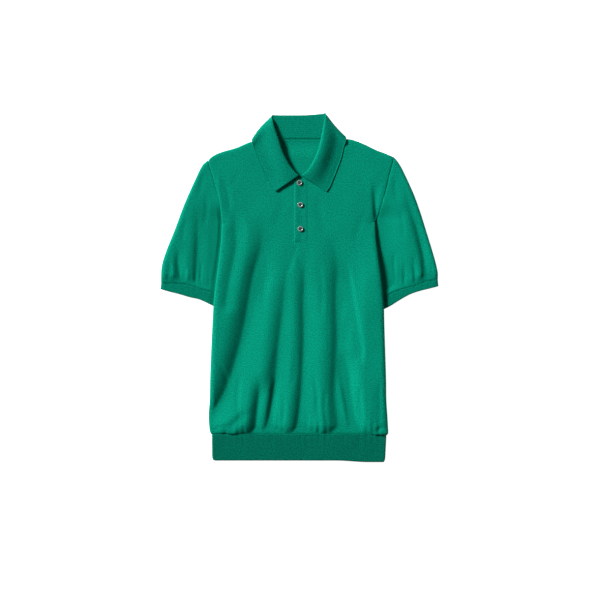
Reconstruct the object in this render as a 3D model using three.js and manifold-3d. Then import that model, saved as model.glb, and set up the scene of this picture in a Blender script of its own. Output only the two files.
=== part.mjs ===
// A short-sleeved knitted polo shirt laid flat on a table, face up, in millimetres.
// +X is the wearer's left, +Y runs towards the collar and +Z is up off the table.
// The tables give places on the laid shirt, with the button line close to x = 0.

import * as THREE from 'three';
import { mergeVertices } from 'three/addons/utils/BufferGeometryUtils.js';
import Module from 'manifold-3d';

// Cloth
const WALL = 1.5;
const RIB_WALL = 1.8;
const SEAM_GAP = 0.4;
const LAYER_GAP = 0.3;
const FLOOR_LAYER = WALL / 2;
const LOWEST_TOP_LAYER = FLOOR_LAYER + WALL + LAYER_GAP;
const COLLAR_WALL = 1.5;

// The whole garment
const ARMPIT_Y = 140.8;
const SHOULDER_TIP_Y = { left: 274, right: 280.6 };
const HEM_SEAM_Y = -316;
const HEM_BOTTOM_Y = -371.6;
const HEM_TOP_LAYER = 4.2;
const NECK_X = 67.3;
const BACK_NECK_Y = 319;

// Rounded sides: the front turns under and meets the back beneath the shirt
const ROLL = 9;
const TUCK = 20;
const TUCK_GROWTH = 20;
const SHOULDER_TUCK = 6;
const SLEEVE_UNDER_BODY = 6;
const STEP_OVER_SLEEVE = 2 * RIB_WALL + 2 * LAYER_GAP;

// Placket
const SLOT = { left: -9, right: 19.3, bottom: 97 };
const BAND_TOP_Y = 235.4;
const BAND_LIFT = 0.35;
const UNDER_BAND = { left: 2, right: 1, bottom: 2 };

// Buttons
const BUTTON_RADIUS = 5.7;
const BUTTON_HEIGHT = 2.5;
const BUTTON_HOLE_RADIUS = 0.8;
const BUTTON_HOLE_OFFSET = 1.35;
const BUTTON_SEAT = 0.3;
const BUTTON_SIDES = 20;
const HOLE_SIDES = 8;

// The button's section from its middle below to its middle above: inset from its rim, and height
const BUTTON_DISH = BUTTON_HEIGHT - 0.7;
const BUTTON_PROFILE = [
  [BUTTON_RADIUS, 0], [1, 0], [0, 0.8], [0, BUTTON_HEIGHT - 0.5], [0.6, BUTTON_HEIGHT],
  [1.4, BUTTON_HEIGHT], [2.2, BUTTON_DISH], [BUTTON_RADIUS, BUTTON_DISH],
];

const BUTTONS = [
  { name: 'button_1', x: 1.1, y: 224.7 },
  { name: 'button_2', x: 3.2, y: 177.4 },
  { name: 'button_3', x: 3.2, y: 125.8 },
];

// Side edges of the body from the armpits to the hem
const BODY_EDGE = [
  { y: -319, left: -187, right: 188 },
  { y: -310, left: -191.4, right: 191.6 },
  { y: -298, left: -193.6, right: 191.4 },
  { y: -274, left: -194.6, right: 190 },
  { y: -242, left: -192.4, right: 188 },
  { y: -199, left: -191.4, right: 187.4 },
  { y: -134, left: -189, right: 185.4 },
  { y: -91, left: -187, right: 184 },
  { y: -35, left: -183.8, right: 182.3 },
  { y: 5, left: -179.5, right: 179.2 },
  { y: 38, left: -175, right: 175.4 },
  { y: 70, left: -171, right: 171 },
  { y: 102, left: -167.7, right: 166.6 },
  { y: 141, left: -165.6, right: 164 },
];

// Ends of the hem rib, from its seam down
const HEM_EDGE = [
  { y: HEM_SEAM_Y, left: -187.6, right: 188.2 },
  { y: -343, left: -187.4, right: 186.8 },
  { y: -366.5, left: -186.8, right: 185.2 },
  { y: HEM_BOTTOM_Y, left: -184.4, right: 182.6 },
];
const HEM_SLACK = 3.4;
const HEM_SLACK_FROM = 80;
const HEM_SLACK_GROWTH = 70;

// Armhole seams from the armpits to the shoulder tips
const ARMHOLE = [
  { y: 140.8, left: -165.6, right: 164 },
  { y: 166.6, left: -167.7, right: 174.2 },
  { y: 192.4, left: -172, right: 182 },
  { y: 216, left: -179.5, right: 188.6 },
  { y: 237.6, left: -185, right: 193.4 },
  { y: 257, left: -191.4, right: 198.6 },
  { y: 274, left: -195.7, right: 203 },
  { y: 281, left: -196.6, right: 204.3 },
];

// Shoulder lines from the tips to the neck
const SHOULDER = [
  { x: -197, y: 273 },
  { x: -185, y: 283 },
  { x: -168, y: 291 },
  { x: -135.5, y: 300.5 },
  { x: -100, y: 314.5 },
  { x: -67, y: 316 },
  { x: 67, y: 316.6 },
  { x: 100, y: 319 },
  { x: 114, y: 318.2 },
  { x: 140, y: 308.4 },
  { x: 165.6, y: 296 },
  { x: 183, y: 289.4 },
  { x: 204.3, y: 280.6 },
];

// Neck seam of the front, from the left shoulder to the slot and from the slot to the right one
const NECK_SEAM_LEFT = [
  { x: -67.3, y: 307 },
  { x: -65.9, y: 294 },
  { x: -57.6, y: 273 },
  { x: -42.8, y: 253.4 },
  { x: -22.6, y: 239.6 },
  { x: -9, y: 235.6 },
];
const NECK_SEAM_RIGHT = [
  { x: 19.3, y: 237.2 },
  { x: 29.6, y: 242.4 },
  { x: 44.2, y: 254.2 },
  { x: 59.4, y: 273.4 },
  { x: 67, y: 294.6 },
  { x: 67.3, y: 307 },
];

// Height of the front's middle surface where no fold runs
const FRONT_PLATEAU = [
  { y: -330, height: HEM_TOP_LAYER },
  { y: -315.6, height: HEM_TOP_LAYER },
  { y: -306, height: 9 },
  { y: -294, height: 12 },
  { y: -240, height: 13.4 },
  { y: -100, height: 13.2 },
  { y: 60, height: 10.8 },
  { y: 140, height: 8.6 },
  { y: 230, height: 7.2 },
  { y: 320, height: 6 },
];

// The flank beside the right sleeve stands higher
const RIGHT_FLANK = { x: 172, halfWidth: 52, y: 36, reach: 120, rise: 3.4 };

// Large folds of the front. Each is a trough along a path of y and x, with a depth, the reach of
// its left and right sides, the y of its top and bottom, and the length over which it grows.
const FRONT_FOLDS = [
  {
    name: 'left side', depth: 10.2, left: 46, right: 74, top: 165, bottom: -345, fade: 140,
    path: [
      [124, -76], [59, -84], [-5, -99], [-70, -112], [-134, -128], [-199, -148], [-240, -166],
      [-272, -188], [-300, -212],
    ],
  },
  {
    name: 'left flank', depth: 3, left: 26, right: 26, top: 185, bottom: -60, fade: 70,
    path: [[166, -142], [102, -134], [59, -140], [16, -149], [-27, -156]],
  },
  {
    name: 'left of the middle', depth: 8.4, left: 38, right: 56, top: 150, bottom: -330, fade: 230,
    path: [[102, -12], [59, -21], [-27, -31], [-113, -42], [-199, -50], [-242, -55], [-296, -64]],
  },
  {
    name: 'low left of the middle', depth: 3.6, left: 13, right: 15, top: -180, bottom: -330, fade: 50,
    path: [[-199, -51], [-250, -59], [-300, -67]],
  },
  {
    name: 'low left', depth: 8, left: 28, right: 22, top: -180, bottom: -330, fade: 60,
    path: [[-210, -84], [-242, -87], [-274, -91], [-306, -94]],
  },
  {
    name: 'middle', depth: 9.6, left: 31, right: 60, top: 112, bottom: -330, fade: 170,
    path: [[91, 12], [27, 13], [-102, 12], [-167, 9], [-231, 5], [-294, -2]],
  },
  {
    name: 'right of the middle', depth: 9.8, left: 45, right: 60, top: 140, bottom: -330, fade: 180,
    path: [[102, 74], [59, 82], [-27, 83], [-113, 84], [-199, 80], [-242, 80], [-296, 88]],
  },
  {
    name: 'low right', depth: 8.4, left: 15, right: 34, top: -130, bottom: -330, fade: 60,
    path: [[-167, 94], [-199, 98], [-242, 105], [-300, 115]],
  },
  {
    name: 'right flank', depth: 1.8, left: 40, right: 12, top: 60, bottom: -170, fade: 50,
    path: [[48, 104], [20, 109], [-27, 117], [-70, 124], [-130, 134]],
  },
  {
    name: 'low right side', depth: 1.2, left: 20, right: 24, top: -205, bottom: -330, fade: 35,
    path: [[-231, 168], [-281, 172]],
  },
];
const FOLD_END = 25;
const FOLD_ROUND = 0.14;
const FOLD_POWER = { left: 2.2, right: 1.3 };

// Gathers where the front is drawn into the hem rib, each with its reach up from the seam
const GATHER_SEAM = { reach: 9, share: 0.25 };
const ARMPIT_DROP = { depth: 1.8, above: 45, below: 16, across: 26 };
const LOWEST_FRONT = LOWEST_TOP_LAYER + 0.4;
const FRONT_GATHERS = [
  { x: -158, depth: 1, halfWidth: 8, reach: 12 }, { x: -143, depth: 1.4, halfWidth: 6, reach: 12 },
  { x: -130, depth: 1.8, halfWidth: 7, reach: 15 }, { x: -119, depth: 2, halfWidth: 6, reach: 20 },
  { x: -58, depth: 1.8, halfWidth: 7, reach: 18 }, { x: -46, depth: 1.5, halfWidth: 8, reach: 30 },
  { x: -35, depth: 2, halfWidth: 6, reach: 13 }, { x: 4, depth: 1.8, halfWidth: 5, reach: 13 },
  { x: 17, depth: 2.2, halfWidth: 7, reach: 20 }, { x: 30, depth: 1.3, halfWidth: 6, reach: 18 },
  { x: 43, depth: 2.2, halfWidth: 7, reach: 28 }, { x: 59, depth: 2, halfWidth: 7, reach: 25 },
  { x: 70, depth: 1.3, halfWidth: 5, reach: 14 }, { x: 97, depth: 1.3, halfWidth: 6, reach: 15 },
  { x: 131, depth: 2.4, halfWidth: 7, reach: 17 }, { x: 146, depth: 2.2, halfWidth: 8, reach: 24 },
  { x: 159, depth: 2.4, halfWidth: 7, reach: 20 }, { x: 172, depth: 2, halfWidth: 7, reach: 18 },
  { x: 182, depth: 1.5, halfWidth: 5, reach: 14 },
];

// Sleeves. The outer edge runs from the shoulder tip to the cuff seam.
const SLEEVE_PLATEAU = 9;
const SLEEVE_OUTER_ROLL = 10;
const SLEEVE_RINGS = 11;
const SLEEVE_TOP_STEPS = 18;
const CUFF_RINGS = 2;
const CUFF_TOP_STEPS = 12;
const SLEEVES = {
  left: {
    side: -1,
    underarmY: 118,
    besideBody: { lie: 0, rise: 70, steep: 0.5 },
    outer: [
      { x: -195.7, y: 274 }, { x: -208.6, y: 261.6 }, { x: -223, y: 232.4 }, { x: -246.2, y: 180.4 },
      { x: -266.6, y: 126 }, { x: -286.6, y: 76 }, { x: -295.6, y: 44 }, { x: -297.2, y: 10.4 },
    ],
    cuffTop: [
      { x: -297, y: 9.4 }, { x: -253, y: 9.4 }, { x: -234.4, y: 6.5 },
      { x: -213, y: -1 }, { x: -185, y: -7.5 }, { x: -178, y: -9.5 },
    ],
    cuffBottom: [
      { x: -298, y: -3 }, { x: -277.4, y: -8.8 }, { x: -256, y: -14.2 }, { x: -234.4, y: -20.6 },
      { x: -213, y: -25.6 }, { x: -190, y: -36.5 }, { x: -178.5, y: -42 },
    ],
    folds: [
      { name: 'outer', depth: 4.4, left: 14, right: 18, top: 100, bottom: -20, fade: 70,
        path: [[102, -254], [60, -260], [16, -255]] },
      { name: 'middle', depth: 3, left: 17, right: 24, top: 190, bottom: -20, fade: 120,
        path: [[134, -217], [60, -219], [16, -223]] },
      { name: 'by the body', depth: 2, left: 12, right: 14, top: 40, bottom: -30, fade: 30,
        path: [[33, -180], [-7, -190]] },
    ],
    gathers: [-282, -264, -247, -234, -222, -211, -203, -195],
  },
  right: {
    side: 1,
    underarmY: 118,
    besideBody: { lie: 12, rise: 60, steep: 0 },
    outer: [
      { x: 203.4, y: 280 }, { x: 220, y: 258 }, { x: 244.4, y: 206 }, { x: 257.4, y: 172 },
      { x: 269, y: 136.5 }, { x: 290, y: 68 }, { x: 298, y: 36 }, { x: 299, y: 18.6 },
    ],
    cuffTop: [
      { x: 298.6, y: 18 }, { x: 271, y: 14 }, { x: 249, y: 5.4 }, { x: 228, y: 0 },
      { x: 204, y: -7.5 }, { x: 190, y: -14 }, { x: 176, y: -17 },
    ],
    cuffBottom: [
      { x: 300, y: 3.2 }, { x: 281.7, y: -1.6 }, { x: 260, y: -7 }, { x: 238.7, y: -14.4 },
      { x: 217, y: -26.2 }, { x: 195, y: -40 }, { x: 176.5, y: -49 },
    ],
    folds: [
      { name: 'outer', depth: 4.8, left: 16, right: 26, top: 240, bottom: -20, fade: 170,
        path: [[199, 231], [156, 243], [123, 254], [59, 269], [20, 276]] },
      { name: 'middle', depth: 2.4, left: 18, right: 16, top: 60, bottom: -20, fade: 40,
        path: [[40, 226], [10, 230]] },
      { name: 'inner', depth: 2, left: 14, right: 14, top: 60, bottom: -20, fade: 40,
        path: [[40, 246], [10, 250]] },
    ],
    gathers: [286, 268, 250, 238, 226, 215, 206, 197],
  },
};
const CUFF_TOP_LAYER = 4.4;
const CUFF_RISE = 12;
const SLEEVE_GATHER = { reach: 22, depth: 1.8, halfWidth: 6.5, start: 10 };
const SLEEVE_BASE = { start: 4, reach: 40, steepRise: 9 };
const SLEEVE_CROWN = 0.3;
const SLEEVE_FOLD_START = 20;
const SLEEVE_TO_CUFF = 20;

// Section of a flat tube of cloth: distances from its outer edge, then from its inner one
const TUBE_CROWN = 3;
const TUBE_EDGE_SHARE = 0.42;
const TUBE_OUTER_FLOOR = 2.6;
const TUBE_FLOOR_START = 8.6;
const TUBE_TOP_END = 5;
const TUBE_INNER_TURN = 1.4;
const TUBE_INNER_EDGE = 0.3;
const TUBE_FLOOR_END = 8;
const TUBE_FLOOR_STEPS = 9;
const TUBE_FLOOR_LIFT = 0.1;

// Collar stations from the middle of the back round to each front end. The neck edge is where
// the stand is sewn on, the fold is where it turns into the leaf, and the tip edge is the leaf's.
// lift is half the height between stand and leaf at the fold, negative where the stand is on top,
// and bow is how far the leaf bulges out between its fold and its edge.
const COLLAR_BACK = [
  { neck: [0, 319.5, 2.95], fold: [0, 369.2, 1.85], edge: [0, 322.5, 0.75], lift: -1.1 },
];
const COLLAR_LEFT = [
  { neck: [-20, 319.5, 2.95], fold: [-18, 369.2, 1.85], edge: [-26, 322.5, 0.75], lift: -1.1 },
  { neck: [-40, 319.5, 2.95], fold: [-37, 369.2, 1.85], edge: [-52, 322.5, 0.75], lift: -1.1 },
  { neck: [-56, 319.7, 3.1], fold: [-51, 369.4, 2.1], edge: [-78, 322.5, 0.9], lift: -1.1 },
  { neck: [-63.5, 320, 3.9], fold: [-58, 369.2, 3.4], edge: [-94, 322, 3], lift: -0.9, bow: 2 },
  { neck: [-65.9, 317.5, 5.4], fold: [-58.8, 364.5, 6], edge: [-100.8, 318.6, 6.4], lift: 0, bow: 3.6 },
  { neck: [-65.9, 311, 6.6], fold: [-57, 358, 8.8], edge: [-100.3, 310.5, 9.6], lift: 1.4, bow: 2 },
  { neck: [-65.6, 302, 7.2], fold: [-52.6, 343, 10.4], edge: [-97, 298, 0], lift: 2.4 },
  { neck: [-61.4, 286.5, 7.4], fold: [-43, 317, 11.4], edge: [-88.6, 275, 0], lift: 3 },
  { neck: [-52, 268.5, 7.5], fold: [-34.4, 291, 12], edge: [-78.6, 252.5, 0], lift: 3 },
  { neck: [-37.5, 252.8, 7.6], fold: [-22.5, 266.5, 12], edge: [-68.6, 230.5, 0], lift: 2.8 },
  { neck: [-20.5, 241.4, 7.7], fold: [-9.5, 249, 11.8], edge: [-58.5, 214, 0], lift: 2.2 },
  { neck: [-6.5, 236.8, 7.8], fold: [-0.6, 240.2, 11.4], edge: [-50, 206.4, 0], lift: 1.6 },
];
const COLLAR_RIGHT = [
  { neck: [20, 319.5, 2.95], fold: [18, 369.6, 1.85], edge: [26, 322.5, 0.75], lift: -1.1 },
  { neck: [40, 319.5, 2.95], fold: [37, 371, 1.85], edge: [52, 322.5, 0.75], lift: -1.1 },
  { neck: [56, 319.7, 3.1], fold: [50, 372.2, 2.1], edge: [78, 322.5, 0.9], lift: -1.1 },
  { neck: [63.5, 320, 3.9], fold: [56.6, 373.6, 3.4], edge: [94, 324.5, 3], lift: -0.9, bow: 0.8 },
  { neck: [65.9, 317.5, 5.4], fold: [57.6, 370, 6.2], edge: [100.6, 323, 6.8], lift: 0, bow: 1.6 },
  { neck: [65.9, 311, 6.6], fold: [56.2, 363, 9.2], edge: [100, 312, 9.8], lift: 1.6, bow: 0.8 },
  { neck: [65.9, 302, 7.2], fold: [53, 348, 11.4], edge: [96.6, 303, 0], lift: 2.8 },
  { neck: [62.2, 286.5, 7.4], fold: [47.6, 321, 12.8], edge: [91, 279, 0], lift: 3.6 },
  { neck: [53, 268.5, 7.5], fold: [41, 295.6, 13.4], edge: [83, 256.5, 0], lift: 3.8 },
  { neck: [39.2, 252.8, 7.6], fold: [31.4, 272.5, 13.2], edge: [74, 234, 0], lift: 3.4 },
  { neck: [24, 241.6, 7.7], fold: [18.6, 251, 12.6], edge: [65.8, 215, 0], lift: 2.4 },
  { neck: [10, 236.8, 7.8], fold: [4.8, 240.4, 12], edge: [59, 205.6, 0], lift: 1.6 },
];
const LEAF_OVER_FRONT = WALL + 0.7;
const LEAF_TIP_LIFT = 1.6;
const LEAF_TIP_STATIONS = 2;
const LEAF_ARCH = 1.4;
const LEAST_TURN = 1.1;

// Colours and finishes
const cloth = new THREE.MeshStandardMaterial({ color: 0x037f66, roughness: 0.9, metalness: 0 });
const rib = new THREE.MeshStandardMaterial({ color: 0x036e57, roughness: 0.92, metalness: 0 });
const pearl = new THREE.MeshStandardMaterial({ color: 0x8f9088, roughness: 0.25, metalness: 0 });

const clamp01 = (t) => Math.min(1, Math.max(0, t));
const mix = (a, b, t) => a + (b - a) * t;

function smooth(t) {
  const c = clamp01(t);
  return c * c * (3 - 2 * c);
}

// Half a cosine bump: 1 in the middle, 0 at its half width and beyond
function bump(distance, halfWidth) {
  return 0.5 + 0.5 * Math.cos(Math.PI * clamp01(Math.abs(distance) / halfWidth));
}

// A column of a table at any place along another, on a smooth curve through the rows
function lookup(rows, key, column, at) {
  const ordered = rows[0][key] < rows[rows.length - 1][key] ? rows : [...rows].reverse();
  const last = ordered.length - 1;
  if (at <= ordered[0][key]) return ordered[0][column];
  if (at >= ordered[last][key]) return ordered[last][column];
  let i = 0;
  while (at > ordered[i + 1][key]) i += 1;
  const slope = (a, b) => (ordered[b][column] - ordered[a][column]) / (ordered[b][key] - ordered[a][key]);
  const here = slope(i, i + 1);
  const before = i > 0 ? slope(i - 1, i + 1) : here;
  const after = i + 1 < last ? slope(i, i + 2) : here;
  const span = ordered[i + 1][key] - ordered[i][key];
  const t = (at - ordered[i][key]) / span;
  const bend = t * t * (3 - 2 * t);
  const straight = mix(ordered[i][column], ordered[i + 1][column], bend);
  const start = (t - 2 * t * t + t * t * t) * span * before;
  const end = (t * t * t - t * t) * span * after;
  return straight + start + end;
}

const bodyEdge = (side, y) => lookup(BODY_EDGE, 'y', side, y);
const armhole = (side, y) => lookup(ARMHOLE, 'y', side, y);
const shoulder = (x) => lookup(SHOULDER, 'x', 'y', x);

// A point at a fraction of the way along a list of plan points
function along(points, fraction) {
  const places = points.map((p) => new THREE.Vector3(p.x, p.y, 0));
  return new THREE.CatmullRomCurve3(places, false, 'centripetal').getPointAt(clamp01(fraction));
}

// A trough that is steepest beside its line: 1 on the line, 0 at the reach of either side
function trough(off, fold) {
  const side = off < 0 ? 'left' : 'right';
  const reach = fold[side];
  const share = (reach - Math.hypot(off, reach * FOLD_ROUND)) / (reach * (1 - FOLD_ROUND));
  return clamp01(share) ** FOLD_POWER[side];
}

// Depth of all the folds of a list at one place
function foldDepth(folds, x, y) {
  let depth = 0;
  for (const fold of folds) {
    const grown = smooth((fold.top - y) / fold.fade) * smooth((y - fold.bottom) / FOLD_END);
    depth += fold.depth * grown * trough(x - lookup(fold.path, 0, 1, y), fold);
  }
  return depth;
}

function frontGatherDepth(x, y) {
  const above = Math.max(0, y - HEM_SEAM_Y);
  let depth = 0;
  for (const gather of FRONT_GATHERS) {
    depth += gather.depth * bump(x - gather.x, gather.halfWidth) * Math.exp(-above / gather.reach);
  }
  return depth * mix(GATHER_SEAM.share, 1, smooth(above / GATHER_SEAM.reach));
}

// Height of the front's middle surface, away from its rolled edges
function frontHeight(x, y) {
  const plateau = lookup(FRONT_PLATEAU, 'y', 'height', y);
  const across = bump(x - RIGHT_FLANK.x, RIGHT_FLANK.halfWidth);
  const flank = RIGHT_FLANK.rise * across * bump(y - RIGHT_FLANK.y, RIGHT_FLANK.reach);
  const height = plateau - foldDepth(FRONT_FOLDS, x, y) - frontGatherDepth(x, y) + flank;
  if (height > LOWEST_FRONT + 1) return height;
  return LOWEST_FRONT + Math.exp(height - LOWEST_FRONT - 1);
}

// How far the front sinks towards the seam at an armpit
function armpitDrop(side, x, y) {
  const outline = y > ARMPIT_Y ? armhole(side, y) : bodyEdge(side, y);
  const along = y > ARMPIT_Y ? (y - ARMPIT_Y) / ARMPIT_DROP.above : (ARMPIT_Y - y) / ARMPIT_DROP.below;
  const low = 1 - smooth(along);
  const near = 1 - smooth(Math.abs(x - outline) / ARMPIT_DROP.across);
  return ARMPIT_DROP.depth * low * near;
}

function frontSurface(x, y) {
  return frontHeight(x, y) - armpitDrop('left', x, y) - armpitDrop('right', x, y);
}

// An open sheet of triangles through the middle of the cloth, built row by row
class Sheet {
  constructor() {
    this.points = [];
    this.faces = [];
  }

  row(points) {
    return points.map((p) => this.points.push(new THREE.Vector3(...p)) - 1);
  }

  // Join two rows that run the same way, place by place
  stitch(lower, upper) {
    const gap = (a, b) => this.points[a].distanceTo(this.points[b]);
    if (lower.length !== upper.length) {
      this.stitchUneven(lower, upper, gap);
      return;
    }
    for (let i = 1; i < lower.length; i += 1) {
      const [a, b, c, d] = [lower[i - 1], lower[i], upper[i], upper[i - 1]];
      if (gap(a, c) <= gap(b, d)) this.faces.push([a, b, c], [a, c, d]);
      else this.faces.push([a, b, d], [b, c, d]);
    }
  }

  // Join two rows of different counts, always across the shorter way
  stitchUneven(lower, upper, gap) {
    let i = 0;
    let j = 0;
    while (i < lower.length - 1 || j < upper.length - 1) {
      const lowerEnd = i === lower.length - 1;
      const upperEnd = j === upper.length - 1;
      const lowerNearer = () => gap(lower[i + 1], upper[j]) <= gap(lower[i], upper[j + 1]);
      const stepLower = !lowerEnd && (upperEnd || lowerNearer());
      if (stepLower) {
        this.faces.push([lower[i], lower[i + 1], upper[j]]);
        i += 1;
      } else {
        this.faces.push([lower[i], upper[j + 1], upper[j]]);
        j += 1;
      }
    }
  }

  normals() {
    const normals = this.points.map(() => new THREE.Vector3());
    const edges = [new THREE.Vector3(), new THREE.Vector3()];
    for (const face of this.faces) {
      for (let k = 0; k < 3; k += 1) {
        const at = this.points[face[k]];
        edges[0].subVectors(this.points[face[(k + 1) % 3]], at).normalize();
        edges[1].subVectors(this.points[face[(k + 2) % 3]], at).normalize();
        const angle = edges[0].angleTo(edges[1]);
        normals[face[k]].addScaledVector(edges[0].clone().cross(edges[1]).normalize(), angle);
      }
    }
    return normals.map((n) => n.normalize());
  }

  // Give the sheet a wall: two skins and a rim along every open edge
  thicken(wall) {
    const normals = this.normals();
    const count = this.points.length;
    const upper = this.points.map((p, i) => p.clone().addScaledVector(normals[i], wall / 2));
    const lower = this.points.map((p, i) => p.clone().addScaledVector(normals[i], -wall / 2));
    const faces = this.faces.map((f) => [...f]);
    for (const [a, b, c] of this.faces) faces.push([a + count, c + count, b + count]);
    const used = new Set();
    for (const f of this.faces) {
      for (let k = 0; k < 3; k += 1) used.add(`${f[k]},${f[(k + 1) % 3]}`);
    }
    for (const f of this.faces) {
      for (let k = 0; k < 3; k += 1) {
        const a = f[k];
        const b = f[(k + 1) % 3];
        if (!used.has(`${b},${a}`)) faces.push([b, a, a + count], [b, a + count, b + count]);
      }
    }
    const geometry = new THREE.BufferGeometry();
    const values = [...upper, ...lower].flatMap((p) => [p.x, p.y, p.z]);
    geometry.setAttribute('position', new THREE.Float32BufferAttribute(values, 3));
    geometry.setIndex(faces.flat());
    return geometry;
  }
}

// Evenly spaced values from one end to the other, both ends included
function spread(from, to, steps) {
  return Array.from({ length: steps + 1 }, (_, i) => mix(from, to, i / steps));
}

// Insets of the side's turned-under part, as shares of it, and of its rounded edge
const TURNED = { outer: 0.18, middle: 0.52, inner: 0.82, innerRise: 0.1, least: 1.2, hemRise: 0.25 };
const ROUNDED = { middleHigh: 0.45, high: 0.86, insetAtHem: 1.6, inset: 3, hemReach: 24 };
const OVER_SLEEVE = { from: -66, reach: 16 };

// How far the front is held up where it lies over the sleeve's inner edge
function stepOverSleeve(y) {
  return STEP_OVER_SLEEVE * smooth((y - OVER_SLEEVE.from) / OVER_SLEEVE.reach);
}

// The stretch of a front row that rolls over the side and turns under, from its hidden edge out
function sideRoll(side, y) {
  const inward = side === 'left' ? 1 : -1;
  const edge = bodyEdge(side, y);
  const tuck = TUCK * clamp01((ARMPIT_Y - y) / TUCK_GROWTH);
  const top = frontSurface(edge + inward * ROLL, y);
  const under = FLOOR_LAYER + stepOverSleeve(y);
  const hemmed = smooth((y - HEM_SEAM_Y) / ROUNDED.hemReach);
  const shape = [
    { inset: tuck, z: FLOOR_LAYER },
    { inset: tuck * TURNED.inner, z: mix(FLOOR_LAYER, under, TURNED.innerRise) },
    { inset: tuck * TURNED.middle, z: under },
    { inset: Math.max(TURNED.least, tuck * TURNED.outer), z: under + TURNED.hemRise * hemmed },
    { inset: WALL / 2, z: mix(under, top, ROUNDED.middleHigh) },
    { inset: mix(ROUNDED.insetAtHem, ROUNDED.inset, hemmed), z: mix(under, top, ROUNDED.high) },
  ];
  return shape.map((p) => [edge + inward * p.inset, y, p.z]);
}

const MAIN_STEPS = { flank: 13, neck: 6, slot: 2 };
const GATHER_STEPS = 92;
const GATHER_ROWS = [-309, -302, -293, -282, -268];
const PLAIN_FROM_Y = -248;
const BODY_ROWS = 14;
const ARMPIT_ROWS = [110, 121, 129, 135];
const CHEST_ROWS = 8;
const NECK_COLUMN_LOW = 60;
const SHOULDER_SHAPE = [
  { inset: 3, high: 0.86 },
  { inset: WALL / 2, high: 0.45 },
  { inset: 2.4, high: 0.05 },
  { inset: SHOULDER_TUCK, high: 0 },
];

// Plan positions across one row, from its left to its right end
function rowStations(left, right, neckX) {
  return [
    ...spread(left, -neckX, MAIN_STEPS.flank).slice(0, -1),
    ...spread(-neckX, SLOT.left, MAIN_STEPS.neck).slice(0, -1),
    ...spread(SLOT.left, SLOT.right, MAIN_STEPS.slot).slice(0, -1),
    ...spread(SLOT.right, neckX, MAIN_STEPS.neck).slice(0, -1),
    ...spread(neckX, right, MAIN_STEPS.flank),
  ];
}
const SLOT_START = MAIN_STEPS.flank + MAIN_STEPS.neck;
const SLOT_END = SLOT_START + MAIN_STEPS.slot;

// Top boundary of the front's main surface: below the shoulder roll, and along the neck seam
function frontTopY(x) {
  if (x > -NECK_X && x <= SLOT.left) return lookup(NECK_SEAM_LEFT, 'x', 'y', x);
  if (x < NECK_X && x >= SLOT.right) return lookup(NECK_SEAM_RIGHT, 'x', 'y', x);
  if (x > SLOT.left && x < SLOT.right) return BAND_TOP_Y;
  return shoulder(x) - ROLL;
}

// One row of the front above the armpits, at a fraction of the way to its top boundary
function upperRow(fraction) {
  const leftTop = SHOULDER_TIP_Y.left - ROLL;
  const rightTop = SHOULDER_TIP_Y.right - ROLL;
  const leftY = mix(ARMPIT_Y, leftTop, fraction);
  const rightY = mix(ARMPIT_Y, rightTop, fraction);
  const low = rowStations(armhole('left', ARMPIT_Y), armhole('right', ARMPIT_Y), NECK_COLUMN_LOW);
  const high = rowStations(armhole('left', leftTop), armhole('right', rightTop), NECK_X);
  const leftShift = armhole('left', leftY) - mix(low[0], high[0], fraction);
  const last = low.length - 1;
  const rightShift = armhole('right', rightY) - mix(low[last], high[last], fraction);
  return low.map((lowX, i) => {
    const leftShare = clamp01(1 - i / MAIN_STEPS.flank);
    const rightShare = clamp01(1 - (last - i) / MAIN_STEPS.flank);
    let x = mix(lowX, high[i], fraction) + leftShift * leftShare + rightShift * rightShare;
    let topY = frontTopY(high[i]);
    if (i === 0) topY = leftTop;
    if (i === last) topY = rightTop;
    const y = mix(ARMPIT_Y, topY, fraction);
    const height = frontSurface(x, y);
    if (i === 0) x += SEAM_GAP / 2;
    if (i === last) x -= SEAM_GAP / 2;
    return [x, y, height];
  });
}

// The shoulder's own rows: over the roll and under to the hidden edge beside the back
function shoulderRoll(sheet, row) {
  let below = row;
  for (const step of SHOULDER_SHAPE) {
    const points = row.map((index) => {
      const start = sheet.points[index];
      const y = start.y + ROLL - step.inset;
      return [start.x, y, mix(FLOOR_LAYER, start.z, step.high)];
    });
    const next = sheet.row(points);
    sheet.stitch(below, next);
    below = next;
  }
}

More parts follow.
